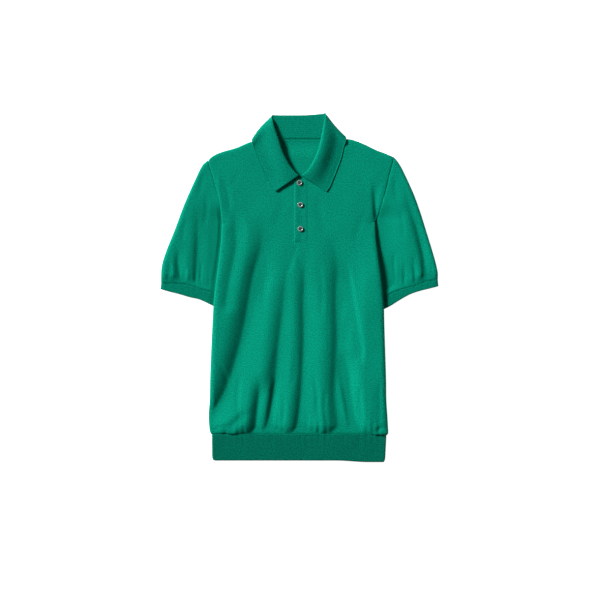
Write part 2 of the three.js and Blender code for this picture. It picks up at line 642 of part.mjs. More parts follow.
function frontGeometry() {
  const sheet = new Sheet();
  const fullRow = (y, steps) => {
    const left = bodyEdge('left', y) + ROLL;
    const right = bodyEdge('right', y) - ROLL;
    const stations = steps ? spread(left, right, steps) : rowStations(left, right, NECK_COLUMN_LOW);
    const rollLeft = sheet.row(sideRoll('left', y));
    const main = sheet.row(stations.map((x) => [x, y, frontSurface(x, y)]));
    const rollRight = sheet.row(sideRoll('right', y).reverse());
    return { rollLeft, main, rollRight };
  };
  const joinRolls = (low, high) => {
    sheet.stitch([...low.rollLeft, low.main[0]], [...high.rollLeft, high.main[0]]);
    const lowEnd = low.main[low.main.length - 1];
    const highEnd = high.main[high.main.length - 1];
    sheet.stitch([lowEnd, ...low.rollRight], [highEnd, ...high.rollRight]);
  };
  const splitAtSlot = (main) => [main.slice(0, SLOT_START + 1), main.slice(SLOT_END)];

  // From the hem up to the foot of the placket
  const gathered = [HEM_SEAM_Y + SEAM_GAP, ...GATHER_ROWS].map((y) => fullRow(y, GATHER_STEPS));
  const plain = spread(PLAIN_FROM_Y, SLOT.bottom, BODY_ROWS).map((y) => fullRow(y, 0));
  const lower = [...gathered, ...plain];
  for (let i = 1; i < lower.length; i += 1) {
    sheet.stitch(lower[i - 1].main, lower[i].main);
    joinRolls(lower[i - 1], lower[i]);
  }

  // Beside the placket, up to the armpits
  let below = lower[lower.length - 1];
  let [leftHalf, rightHalf] = splitAtSlot(below.main);
  const dropSlot = (points) => points.filter((_, i) => i <= SLOT_START || i >= SLOT_END);
  const joinHalves = (row) => {
    const left = row.slice(0, SLOT_START + 1);
    const right = row.slice(SLOT_START + 1);
    sheet.stitch(leftHalf, left);
    sheet.stitch(rightHalf, right);
    [leftHalf, rightHalf] = [left, right];
  };
  for (const y of ARMPIT_ROWS) {
    const [left, right] = [bodyEdge('left', y) + ROLL, bodyEdge('right', y) - ROLL];
    const stations = rowStations(left, right, NECK_COLUMN_LOW);
    const rollLeft = sheet.row(sideRoll('left', y));
    const main = sheet.row(dropSlot(stations.map((x) => [x, y, frontSurface(x, y)])));
    const rollRight = sheet.row(sideRoll('right', y).reverse());
    const next = { rollLeft, main, rollRight };
    joinRolls(below, next);
    joinHalves(main);
    below = next;
  }

  // At the armpits the rolls end in one point
  const first = sheet.row(dropSlot(upperRow(0)));
  sheet.stitch([...below.rollLeft, below.main[0]], [first[0]]);
  sheet.stitch([below.main[below.main.length - 1], ...below.rollRight], [first[first.length - 1]]);
  joinHalves(first);

  // Chest, shoulders and neck
  let top = first;
  for (let i = 1; i <= CHEST_ROWS; i += 1) {
    top = sheet.row(dropSlot(upperRow(i / CHEST_ROWS)));
    joinHalves(top);
  }
  shoulderRoll(sheet, top.slice(0, MAIN_STEPS.flank + 1));
  shoulderRoll(sheet, top.slice(-MAIN_STEPS.flank - 1));
  return sheet.thicken(WALL);
}

// Rows of the back's outline, its end at the armpit, and its corners at the neck
const BACK_LOW_ROWS = 16;
const BACK_ARM_ROWS = 12;
const BACK_ARMPIT = { below: 0.5, above: 8 };
const BACK_NECK_INSET = 4;

// The back lies flat on the table inside the front's turned-under edges
function backGeometry() {
  const outline = [];
  const inset = TUCK + SEAM_GAP;
  const edgeOf = (side, y) => {
    const inward = side === 'left' ? 1 : -1;
    const tuck = inset * clamp01((ARMPIT_Y - y) / TUCK_GROWTH) + SEAM_GAP;
    return bodyEdge(side, y) + inward * (y < ARMPIT_Y ? tuck : SEAM_GAP);
  };
  const lowRows = spread(HEM_SEAM_Y + SEAM_GAP, ARMPIT_ROWS[0], BACK_LOW_ROWS);
  lowRows.push(...ARMPIT_ROWS.slice(1), ARMPIT_Y - BACK_ARMPIT.below);
  const tipY = (side) => SHOULDER_TIP_Y[side] - ROLL;
  const armRows = (side) => spread(ARMPIT_Y + BACK_ARMPIT.above, tipY(side), BACK_ARM_ROWS);
  const shoulderInset = SHOULDER_TUCK + SEAM_GAP;
  const stations = rowStations(armhole('left', tipY('left')), armhole('right', tipY('right')), NECK_X);
  const leftShoulder = stations.slice(1, MAIN_STEPS.flank + 1).reverse();
  const rightShoulder = stations.slice(-MAIN_STEPS.flank - 1, -1).reverse();
  for (const y of lowRows) outline.push([edgeOf('right', y), y]);
  for (const y of armRows('right')) outline.push([armhole('right', y) - SEAM_GAP, y]);
  for (const x of rightShoulder) outline.push([x, shoulder(x) - shoulderInset]);
  const neckEnd = NECK_X - BACK_NECK_INSET;
  outline.push([neckEnd, BACK_NECK_Y], [-neckEnd, BACK_NECK_Y]);
  for (const x of leftShoulder) outline.push([x, shoulder(x) - shoulderInset]);
  for (const y of armRows('left').reverse()) outline.push([armhole('left', y) + SEAM_GAP, y]);
  for (const y of lowRows.reverse()) outline.push([edgeOf('left', y), y]);
  const shape = new THREE.Shape(outline.map(([x, y]) => new THREE.Vector2(x, y)));
  return new THREE.ExtrudeGeometry(shape, { depth: WALL, bevelEnabled: false });
}

// A closed flat ring of cloth: over the top from its outer to its inner edge, and back beneath
function flatRing(planAt, length, heightAt, wall, topSteps) {
  const floor = wall / 2;
  const ring = [];
  const put = (distance, z) => {
    const p = planAt(distance / length);
    ring.push([p.x, p.y, z]);
  };
  const edgeHeight = mix(floor, heightAt(TUBE_CROWN), TUBE_EDGE_SHARE);
  put(wall / 2, edgeHeight);
  for (const distance of [TUBE_CROWN, ...spread(SLEEVE_OUTER_ROLL, length - TUBE_TOP_END, topSteps)]) {
    const rolled = Math.sqrt(1 - (1 - clamp01(distance / SLEEVE_OUTER_ROLL)) ** 2);
    put(distance, mix(edgeHeight, heightAt(distance), rolled));
  }
  const inner = heightAt(length);
  put(length - TUBE_INNER_TURN, inner);
  put(length - TUBE_INNER_EDGE, mix(floor, inner, 0.5));
  put(length - TUBE_INNER_TURN, floor);
  const floorPlaces = spread(length - TUBE_FLOOR_END, TUBE_FLOOR_START, TUBE_FLOOR_STEPS);
  for (const distance of floorPlaces) put(distance, floor);
  put(TUBE_OUTER_FLOOR, floor + TUBE_FLOOR_LIFT);
  return ring;
}

// Join closed rings into a tube
function tubeGeometry(rings, wall, flip) {
  const sheet = new Sheet();
  const rows = rings.map((ring) => {
    const row = sheet.row(ring);
    return [...row, row[0]];
  });
  for (let i = 1; i < rows.length; i += 1) {
    if (flip) sheet.stitch(rows[i], rows[i - 1]);
    else sheet.stitch(rows[i - 1], rows[i]);
  }
  return sheet.thicken(wall);
}

const SEAM_STEPS = 20;
const UNDERARM_ROWS = [132, 125];
const UNDER_BODY_FROM = ARMPIT_Y - 3;
const LENGTH_STEPS = 24;

// Plan curve of one ring of a sleeve, from the armhole (0) to the cuff seam (1)
function sleevePlan(side, ringFraction) {
  const sleeve = SLEEVES[side];
  const tipY = SHOULDER_TIP_Y[side];
  const outward = sleeve.side * SEAM_GAP / 2;
  const seam = spread(tipY, ARMPIT_Y, SEAM_STEPS).map((y) => ({ x: armhole(side, y) + outward, y }));
  const innerX = (y) => {
    const grown = clamp01((UNDER_BODY_FROM - y) / TUCK_GROWTH);
    return bodyEdge(side, y) - sleeve.side * SLEEVE_UNDER_BODY * grown;
  };
  for (const y of [...UNDERARM_ROWS, sleeve.underarmY]) seam.push({ x: innerX(y), y });
  const cuffInner = sleeve.cuffTop[sleeve.cuffTop.length - 1];
  const innerY = mix(sleeve.underarmY, cuffInner.y, ringFraction);
  const inner = { x: mix(innerX(innerY), cuffInner.x, ringFraction ** 4), y: innerY };
  const outer = along([seam[0], ...sleeve.outer.slice(1)], ringFraction);
  const start = { x: seam[0].x, y: seam[0].y };
  const end = seam[seam.length - 1];
  const cuffStart = sleeve.cuffTop[0];
  const blend = (s) => {
    const a = along(seam, s);
    const b = along(sleeve.cuffTop, s);
    const point = (axis) => {
      const ruled = mix(a[axis], b[axis], ringFraction);
      const outerFix = outer[axis] - mix(start[axis], cuffStart[axis], ringFraction);
      const innerFix = inner[axis] - mix(end[axis], cuffInner[axis], ringFraction);
      return ruled + (1 - s) * outerFix + s * innerFix;
    };
    return { x: point('x'), y: point('y') };
  };
  return blend;
}

function planLength(planAt) {
  let length = 0;
  let before = planAt(0);
  for (const s of spread(0, 1, LENGTH_STEPS).slice(1)) {
    const next = planAt(s);
    length += Math.hypot(next.x - before.x, next.y - before.y);
    before = next;
  }
  return length;
}

// Height of a sleeve's upper layer: low beneath the body, full beside it, low again at the cuff
function sleeveHeight(side, ringFraction, x, y) {
  const sleeve = SLEEVES[side];
  const outline = y > ARMPIT_Y ? armhole(side, y) : bodyEdge(side, y);
  const beyond = sleeve.side * (x - outline);
  const seamHeight = frontHeight(x, y);
  const aboveArmpit = (y - ARMPIT_Y - SLEEVE_BASE.start) / SLEEVE_BASE.reach;
  const base = mix(LOWEST_TOP_LAYER, seamHeight, smooth(aboveArmpit));
  const plateau = mix(seamHeight, SLEEVE_PLATEAU, smooth(ringFraction / SLEEVE_CROWN));
  const { lie, rise, steep } = sleeve.besideBody;
  const out = beyond - 1 - lie * (1 - smooth((y - ARMPIT_Y) / SLEEVE_BASE.reach));
  let height = mix(base, plateau, mix(smooth(out / rise), smooth(out / SLEEVE_BASE.steepRise), steep));
  height -= foldDepth(sleeve.folds, x, y) * smooth(beyond / SLEEVE_FOLD_START);
  const above = Math.max(0, y - lookup(sleeve.cuffTop, 'x', 'y', x));
  let gathers = 0;
  for (const at of sleeve.gathers) gathers += bump(x - at, SLEEVE_GATHER.halfWidth);
  const started = smooth(above / SLEEVE_GATHER.start) * smooth(beyond / SLEEVE_GATHER.start);
  height -= SLEEVE_GATHER.depth * gathers * Math.exp(-above / SLEEVE_GATHER.reach) * started;
  const cuffHeight = mix(LOWEST_TOP_LAYER, CUFF_TOP_LAYER, smooth(beyond / CUFF_RISE));
  height = mix(cuffHeight, height, smooth(above / SLEEVE_TO_CUFF));
  return Math.max(LOWEST_TOP_LAYER, height);
}

function sleeveGeometry(side) {
  const rings = [];
  for (let i = 0; i <= SLEEVE_RINGS; i += 1) {
    const fraction = i / SLEEVE_RINGS;
    const planAt = sleevePlan(side, fraction);
    const length = planLength(planAt);
    const heightAt = (distance) => {
      const p = planAt(distance / length);
      return sleeveHeight(side, fraction, p.x, p.y);
    };
    rings.push(flatRing(planAt, length, heightAt, WALL, SLEEVE_TOP_STEPS));
  }
  return tubeGeometry(rings, WALL, side === 'left');
}

function cuffGeometry(side) {
  const sleeve = SLEEVES[side];
  const rings = spread(0, 1, CUFF_RINGS).map((fraction) => {
    const planAt = (s) => {
      const top = along(sleeve.cuffTop, s);
      const bottom = along(sleeve.cuffBottom, s);
      const dropped = mix(SEAM_GAP / top.distanceTo(bottom), 1, fraction);
      return { x: mix(top.x, bottom.x, dropped), y: mix(top.y, bottom.y, dropped) };
    };
    const length = planLength(planAt);
    const heightAt = (distance) => {
      const p = planAt(distance / length);
      const beyond = sleeve.side * (p.x - bodyEdge(side, p.y));
      const low = RIB_WALL * 1.5 + LAYER_GAP;
      return mix(low, CUFF_TOP_LAYER, smooth(beyond / CUFF_RISE));
    };
    return flatRing(planAt, length, heightAt, RIB_WALL, CUFF_TOP_STEPS);
  });
  return tubeGeometry(rings, RIB_WALL, side === 'left');
}

const HEM_END = 3;
const HEM_STEPS = 24;
const HEM_FLOOR_EVERY = 4;

function hemGeometry() {
  const floor = RIB_WALL / 2;
  const rings = HEM_EDGE.map(({ y, left, right }) => {
    const down = (HEM_SEAM_Y - y) / (HEM_SEAM_Y - HEM_BOTTOM_Y);
    const at = (x, z) => {
      const slack = HEM_SLACK * smooth((x - HEM_SLACK_FROM) / HEM_SLACK_GROWTH);
      return [x, y - down * slack, z];
    };
    const xs = spread(left + HEM_END, right - HEM_END, HEM_STEPS);
    return [
      at(left + RIB_WALL / 2, mix(floor, HEM_TOP_LAYER, 0.5)),
      ...xs.map((x) => at(x, HEM_TOP_LAYER)),
      at(right - RIB_WALL / 2, mix(floor, HEM_TOP_LAYER, 0.5)),
      ...[...xs].reverse().filter((_, i) => i % HEM_FLOOR_EVERY === 0).map((x) => at(x, floor)),
    ];
  });
  return tubeGeometry(rings, RIB_WALL, true);
}

const BAND_STEPS = { across: 4, along: 10 };

// A placket band: a strip of the front's own surface, moved up or down
function bandGeometry(lift, left, right, bottom) {
  const sheet = new Sheet();
  let below = null;
  for (const y of spread(bottom, BAND_TOP_Y, BAND_STEPS.along)) {
    const stations = spread(left, right, BAND_STEPS.across);
    const row = sheet.row(stations.map((x) => [x, y, frontHeight(x, y) + lift]));
    if (below) sheet.stitch(below, row);
    below = row;
  }
  return sheet.thicken(WALL);
}

// The collar's section at one station: up the stand, over the fold and down the leaf
function collarSection(station, tipLift) {
  const neck = new THREE.Vector3(...station.neck);
  const fold = new THREE.Vector3(...station.fold);
  const edge = new THREE.Vector3(...station.edge);
  if (edge.z === 0) edge.z = frontHeight(edge.x, edge.y) + LEAF_OVER_FRONT + tipLift;
  const reach = Math.max(LEAST_TURN, Math.abs(station.lift));
  const plan = (v) => new THREE.Vector3(v.x - fold.x, v.y - fold.y, 0).normalize();
  const standEnd = fold.clone().addScaledVector(plan(neck), reach);
  const leafStart = fold.clone().addScaledVector(plan(edge), reach);
  standEnd.z -= station.lift;
  leafStart.z += station.lift;
  const outward = plan(edge);
  const bow = (station.bow ?? 0) * Math.sign(neck.x || 1);
  const onLeaf = (t) => {
    const p = leafStart.clone().lerp(edge, t);
    p.x -= outward.y * bow * Math.sin(Math.PI * t);
    p.y += outward.x * bow * Math.sin(Math.PI * t);
    p.z += LEAF_ARCH * clamp01(station.lift) * Math.sin(Math.PI * t);
    return p;
  };
  const points = [
    neck, neck.clone().lerp(standEnd, 0.5), standEnd, fold, leafStart,
    onLeaf(0.25), onLeaf(0.5), onLeaf(0.75), edge,
  ];
  return points.map((p) => [p.x, p.y, p.z]);
}

function collarGeometry() {
  const sheet = new Sheet();
  const stations = [...[...COLLAR_LEFT].reverse(), ...COLLAR_BACK, ...COLLAR_RIGHT];
  const rows = stations.map((station, i) => {
    const fromEnd = Math.min(i, stations.length - 1 - i);
    const tipLift = LEAF_TIP_LIFT * clamp01(1 - fromEnd / LEAF_TIP_STATIONS);
    return sheet.row(collarSection(station, tipLift));
  });
  for (let i = 1; i < rows.length; i += 1) sheet.stitch(rows[i - 1], rows[i]);
  return sheet.thicken(COLLAR_WALL);
}

const wasm = await Module();
wasm.setup();
const WELD = 1e-4;

function toManifold(geometry) {
  const bare = geometry.clone();
  bare.deleteAttribute('normal');
  bare.deleteAttribute('uv');
  const merged = mergeVertices(bare, WELD);
  return new wasm.Manifold(new wasm.Mesh({
    numProp: 3,
    vertProperties: new Float32Array(merged.attributes.position.array),
    triVerts: new Uint32Array(merged.index.array),
  }));
}

function fromManifold(solid) {
  const mesh = solid.getMesh();
  const geometry = new THREE.BufferGeometry();
  geometry.setAttribute('position', new THREE.BufferAttribute(mesh.vertProperties, 3));
  geometry.setIndex(new THREE.BufferAttribute(mesh.triVerts, 1));
  return geometry;
}

// A round button with a raised rim and four holes
function buttonGeometry() {
  const h = BUTTON_HEIGHT;
  const profile = BUTTON_PROFILE.map(([inset, z]) => new THREE.Vector2(BUTTON_RADIUS - inset, z));
  const blank = new THREE.LatheGeometry(profile, BUTTON_SIDES);
  blank.rotateX(Math.PI / 2);
  let solid = toManifold(blank);
  for (const [sx, sy] of [[1, 1], [-1, 1], [-1, -1], [1, -1]]) {
    const drill = new THREE.CylinderGeometry(BUTTON_HOLE_RADIUS, BUTTON_HOLE_RADIUS, 2 * h, HOLE_SIDES);
    drill.rotateX(Math.PI / 2);
    drill.translate(sx * BUTTON_HOLE_OFFSET, sy * BUTTON_HOLE_OFFSET, h / 2);
    solid = solid.subtract(toManifold(drill));
  }
  return fromManifold(solid);
}

const shirt = new THREE.Group();

function add(name, geometry, material) {
  const mesh = new THREE.Mesh(geometry, material);
  mesh.name = name;
  shirt.add(mesh);
  return mesh;
}

add('front', frontGeometry(), cloth);
add('back', backGeometry(), cloth);
for (const side of ['left', 'right']) {
  add(`sleeve_${side}`, sleeveGeometry(side), cloth);
  add(`cuff_${side}`, cuffGeometry(side), rib);
}
add('hem_rib', hemGeometry(), rib);
add('collar', collarGeometry(), rib);
const topBand = bandGeometry(
  BAND_LIFT, SLOT.left + SEAM_GAP, SLOT.right - SEAM_GAP, SLOT.bottom + SEAM_GAP,
);
const underBand = bandGeometry(
  BAND_LIFT - WALL - LAYER_GAP, SLOT.left + UNDER_BAND.left, SLOT.right - UNDER_BAND.right,
  SLOT.bottom + UNDER_BAND.bottom,
);
add('placket_top', topBand, cloth);
add('placket_under', underBand, cloth);
for (const { name, x, y } of BUTTONS) {
  const button = add(name, buttonGeometry(), pearl);
  button.position.set(x, y, frontHeight(x, y) + BAND_LIFT + WALL / 2 + BUTTON_SEAT);
}

// Put the origin under the middle of the laid shirt
const box = new THREE.Box3().setFromObject(shirt);
const middle = box.getCenter(new THREE.Vector3());
shirt.position.set(-middle.x, -middle.y, -box.min.z);

export default shirt;
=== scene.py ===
"""The looks of a short-sleeved knitted polo shirt laid flat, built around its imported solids."""

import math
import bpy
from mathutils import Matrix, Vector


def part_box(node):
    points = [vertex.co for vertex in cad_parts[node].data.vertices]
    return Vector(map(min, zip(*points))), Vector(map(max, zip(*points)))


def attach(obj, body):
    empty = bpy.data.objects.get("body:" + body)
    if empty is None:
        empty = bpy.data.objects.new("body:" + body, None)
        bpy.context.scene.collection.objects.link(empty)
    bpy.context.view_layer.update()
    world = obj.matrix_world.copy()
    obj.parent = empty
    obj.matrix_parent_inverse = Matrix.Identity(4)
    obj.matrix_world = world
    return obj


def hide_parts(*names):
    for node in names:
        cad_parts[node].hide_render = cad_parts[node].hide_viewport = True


bl_info = {
    "name": "Laid polo shirt",
    "version": (1, 0, 0),
    "blender": (4, 5, 0),
    "location": "View3D > Sidebar > Polo shirt",
    "description": "Builds the knitted pieces, ribs, collar, buttons and stage of a laid polo shirt",
    "category": "Object",
}

import bmesh
import bpy
import numpy as np
from mathutils import Matrix, Vector

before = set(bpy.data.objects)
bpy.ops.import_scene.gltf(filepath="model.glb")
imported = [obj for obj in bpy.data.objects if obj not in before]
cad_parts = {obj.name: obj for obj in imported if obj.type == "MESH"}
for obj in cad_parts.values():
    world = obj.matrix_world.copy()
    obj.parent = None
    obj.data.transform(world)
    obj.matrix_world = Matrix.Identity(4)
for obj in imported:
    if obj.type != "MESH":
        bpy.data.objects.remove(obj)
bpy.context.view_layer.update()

# Lengths below are millimetres on the laid shirt, before the frame's own origin is applied
MM = 0.001
BUTTONS = {"button_1": (1.1, 224.7), "button_2": (3.2, 177.4), "button_3": (3.2, 125.8)}


def origin_shift():
    """How far the frame's origin moved the tables' places, in millimetres."""
    low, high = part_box("button_2")
    middle = (low + high) / 2 / MM
    return np.array([middle.x - BUTTONS["button_2"][0], middle.y - BUTTONS["button_2"][1], 0])


SHIFT = origin_shift()

# Cloth layers, as the solids lay them
SOLID_WALL = 1.5
SOLID_RIB_WALL = 1.8
LAYER_GAP = 0.3
FLOOR_LAYER = SOLID_WALL / 2
LOWEST_TOP = FLOOR_LAYER + SOLID_WALL + LAYER_GAP
SEAM_GAP = 0.4

# The whole garment
ARMPIT_Y = 140.8
TIP_Y = {"left": 274, "right": 280.6}
HEM_SEAM_Y = -316
HEM_BOTTOM_Y = -371.6
HEM_TOP = 4.2
NECK_X = 67.3
NECK_COLUMN_LOW = 60
BACK_NECK_Y = 319
ROLL = 9
TUCK = 20
TUCK_GROWTH = 20
SHOULDER_TUCK = 6
SLEEVE_UNDER_BODY = 6
STEP_OVER_SLEEVE = 2 * SOLID_RIB_WALL + 2 * LAYER_GAP
SLOT = {"left": -9, "right": 19.3, "bottom": 97}
BAND_TOP_Y = 235.4
BAND_LIFT = 0.35
INWARD = {"left": 1, "right": -1}


def table(columns, *rows):
    """A table as a dictionary of named columns."""
    values = np.array(rows, float)
    return {name: values[:, i] for i, name in enumerate(columns.split())}


BODY_EDGE = table(
    "y left right",
    (-319, -187, 188), (-310, -191.4, 191.6), (-298, -193.6, 191.4), (-274, -194.6, 190),
    (-242, -192.4, 188), (-199, -191.4, 187.4), (-134, -189, 185.4), (-91, -187, 184),
    (-35, -183.8, 182.3), (5, -179.5, 179.2), (38, -175, 175.4), (70, -171, 171),
    (102, -167.7, 166.6), (141, -165.6, 164),
)
HEM_EDGE = table(
    "y left right",
    (HEM_SEAM_Y, -187.6, 188.2), (-343, -187.4, 186.8), (-366.5, -186.8, 185.2),
    (HEM_BOTTOM_Y, -184.4, 182.6),
)
HEM_SLACK = {"drop": 3.4, "start": 80, "growth": 70}
ARMHOLE = table(
    "y left right",
    (140.8, -165.6, 164), (166.6, -167.7, 174.2), (192.4, -172, 182), (216, -179.5, 188.6),
    (237.6, -185, 193.4), (257, -191.4, 198.6), (274, -195.7, 203), (281, -196.6, 204.3),
)
SHOULDER = table(
    "x y",
    (-197, 273), (-185, 283), (-168, 291), (-135.5, 300.5), (-100, 314.5), (-67, 316),
    (67, 316.6), (100, 319), (114, 318.2), (140, 308.4), (165.6, 296), (183, 289.4), (204.3, 280.6),
)
NECK_SEAM_LEFT = table(
    "x y", (-67.3, 307), (-65.9, 294), (-57.6, 273), (-42.8, 253.4), (-22.6, 239.6), (-9, 235.6)
)
NECK_SEAM_RIGHT = table(
    "x y", (19.3, 237.2), (29.6, 242.4), (44.2, 254.2), (59.4, 273.4), (67, 294.6), (67.3, 307)
)
FRONT_PLATEAU = table(
    "y height",
    (-330, HEM_TOP), (-315.6, HEM_TOP), (-306, 9), (-294, 12), (-240, 13.4), (-100, 13.2),
    (60, 10.8), (140, 8.6), (230, 7.2), (320, 6),
)
RIGHT_FLANK = {"x": 172, "half_width": 52, "y": 36, "reach": 120, "rise": 3.4}


def fold(depth, left, right, top, bottom, fade, *path):
    """A trough in the cloth with the reach of its two sides, along a path of y and x."""
    return {
        "depth": depth, "left": left, "right": right, "top": top, "bottom": bottom,
        "fade": fade, "path": table("y x", *path),
    }


FRONT_FOLDS = {
    "left side": fold(10.2, 46, 74, 165, -345, 140, (124, -76), (59, -84), (-5, -99), (-70, -112),
                      (-134, -128), (-199, -148), (-240, -166), (-272, -188), (-300, -212)),
    "left flank": fold(3, 26, 26, 185, -60, 70, (166, -142), (102, -134), (59, -140), (16, -149),
                       (-27, -156)),
    "left of the middle": fold(8.4, 38, 56, 150, -330, 230, (102, -12), (59, -21), (-27, -31),
                               (-113, -42), (-199, -50), (-242, -55), (-296, -64)),
    "low left of the middle": fold(3, 15, 15, -180, -330, 50, (-199, -51), (-250, -59), (-300, -67)),
    "low left": fold(8, 28, 22, -180, -330, 60, (-210, -84), (-242, -87), (-274, -91), (-306, -94)),
    "middle": fold(9.6, 31, 60, 112, -330, 170, (91, 12), (27, 13), (-102, 12), (-167, 9), (-231, 5),
                   (-294, -2)),
    "right of the middle": fold(9.8, 45, 60, 140, -330, 180, (102, 74), (59, 82), (-27, 83),
                                (-113, 84), (-199, 80), (-242, 80), (-296, 88)),
    "low right": fold(8.4, 15, 34, -130, -330, 60, (-167, 94), (-199, 98), (-242, 105), (-300, 115)),
    "right flank": fold(2.3, 40, 9, 60, -170, 50, (48, 104), (20, 109), (-27, 117), (-70, 124),
                        (-130, 134)),
    "low right side": fold(1.2, 20, 24, -205, -330, 35, (-231, 168), (-281, 172)),
}
FRONT_GATHERS = table(
    "x depth half_width reach",
    (-158, 1, 8, 12), (-143, 1.4, 6, 12), (-130, 1.8, 7, 15), (-119, 2, 6, 20), (-58, 1.8, 7, 18),
    (-46, 1.5, 8, 30), (-35, 2, 6, 13), (4, 1.8, 5, 13), (17, 2.2, 7, 20), (30, 1.3, 6, 18),
    (43, 2.2, 7, 28), (59, 2, 7, 25), (70, 1.3, 5, 14), (97, 1.3, 6, 15), (131, 2.4, 7, 17),
    (146, 2.2, 8, 24), (159, 2.4, 7, 20), (172, 2, 7, 18), (182, 1.5, 5, 14),
)

FINE_FOLDS = {
    "right armpit": fold(3.6, 8, 26, 238, 130, 60, (228, 160), (190, 162), (150, 165)),
}

# Small soft creases, each from one end to the other, deeper in its middle. A negative depth is a ridge.
FRONT_CREASES = table(
    "x1 y1 x2 y2 depth width",
    (-172, 250, -160, 160, -0.9, 7), (-163, 240, -150, 150, 0.9, 9),
    (182, 228, 171, 150, -0.7, 6), (-150, 175, -110, 100, 0.6, 14), (150, 170, 118, 90, 0.6, 14),
    (-30, 205, -60, 120, 0.5, 16), (40, 200, 62, 110, 0.6, 15), (-9, 96, -24, 30, 0.9, 9),
    (-7, 96, 8, 40, 0.6, 9), (120, 250, 150, 200, 0.4, 14), (-120, 255, -150, 205, 0.4, 14),
    (-182, -150, -150, -215, 0.8, 9), (-60, 40, -78, -60, 0.7, 12), (-186, -304, -148, -297, 1, 5),
    (-168, -313, -108, -262, 2.6, 15), (-188, -268, -168, -286, 0.7, 5), (186, -296, 160, -312, 1.6, 7),
    (40, 60, 44, -80, 0.8, 11), (110, -60, 104, -160, 0.6, 12), (-12, -120, -20, -230, 0.7, 10),
    (-125, -180, -128, -290, 1.1, 9), (30, -180, 36, -290, 1.2, 9), (58, -215, 60, -300, 0.9, 7),
    (164, 142, 171, 40, -1.9, 13), (134, -200, 140, -296, 1.2, 9), (-34, -230, -38, -300, 0.9, 7), (176, -190, 180, -280, 0.8, 8),
)

SLEEVE_PLATEAU = 9
SLEEVE_OUTER_ROLL = 10
CUFF_TOP = 4.4
SLEEVE_GATHER = {"reach": 22, "depth": 1.8, "half_width": 6.5}
UNDERARM_Y = 118
SLEEVES = {
    "left": {
        "sign": -1,
        "beside_body": (0, 70, 0.3),
        "outer": [(-195.7, 274), (-208.6, 261.6), (-223, 232.4), (-246.2, 180.4), (-266.6, 126),
                  (-286.6, 76), (-295.6, 44), (-297.2, 10.4)],
        "cuff_top": [(-297, 9.4), (-253, 9.4), (-234.4, 6.5), (-213, -1), (-185, -7.5), (-178, -9.5)],
        "cuff_bottom": [(-298, -3), (-277.4, -8.8), (-256, -14.2), (-234.4, -20.6), (-213, -25.6),
                        (-190, -36.5), (-178.5, -42)],
        "folds": {
            "outer": fold(4.4, 14, 18, 100, -20, 70, (102, -254), (60, -260), (16, -255)),
            "middle": fold(3, 17, 24, 190, -20, 120, (134, -217), (60, -219), (16, -223)),
            "by the body": fold(2, 12, 14, 40, -30, 30, (33, -180), (-7, -190)),
        },
        "gathers": (-282, -264, -247, -234, -222, -211, -203, -195),
        "creases": table(
            "x1 y1 x2 y2 depth width",
            (-200, 250, -214, 190, 0.5, 9), (-200, 200, -206, 120, 0.7, 9), (-240, 150, -250, 90, 0.6, 9),
            (-278, 60, -280, 14, 1, 6), (-240, 50, -243, 12, 0.9, 5), (-212, 60, -214, 8, 0.9, 5),
        ),
    },
    "right": {
        "sign": 1,
        "beside_body": (12, 60, 0),
        "outer": [(203.4, 280), (220, 258), (244.4, 206), (257.4, 172), (269, 136.5), (290, 68),
                  (298, 36), (299, 18.6)],
        "cuff_top": [(298.6, 18), (271, 14), (249, 5.4), (228, 0), (204, -7.5), (190, -14), (176, -17)],
        "cuff_bottom": [(300, 3.2), (281.7, -1.6), (260, -7), (238.7, -14.4), (217, -26.2),
                        (195, -40), (176.5, -49)],
        "folds": {
            "outer": fold(4.8, 16, 26, 240, -20, 170, (199, 231), (156, 243), (123, 254), (59, 269),
                          (20, 276)),
            "middle": fold(2.4, 18, 16, 60, -20, 40, (40, 226), (10, 230)),
            "inner": fold(2, 14, 14, 60, -20, 40, (40, 246), (10, 250)),
        },
        "gathers": (286, 268, 250, 238, 226, 215, 206, 197),
        "creases": table(
            "x1 y1 x2 y2 depth width",
            (206, 240, 214, 180, 0.6, 9), (214, 170, 224, 100, 0.6, 9), (246, 70, 252, 14, 0.9, 6),
            (262, 60, 266, 16, 0.9, 5), (206, 80, 210, 10, 0.9, 6), (290, 60, 292, 22, 0.7, 5),
        ),
    },
}

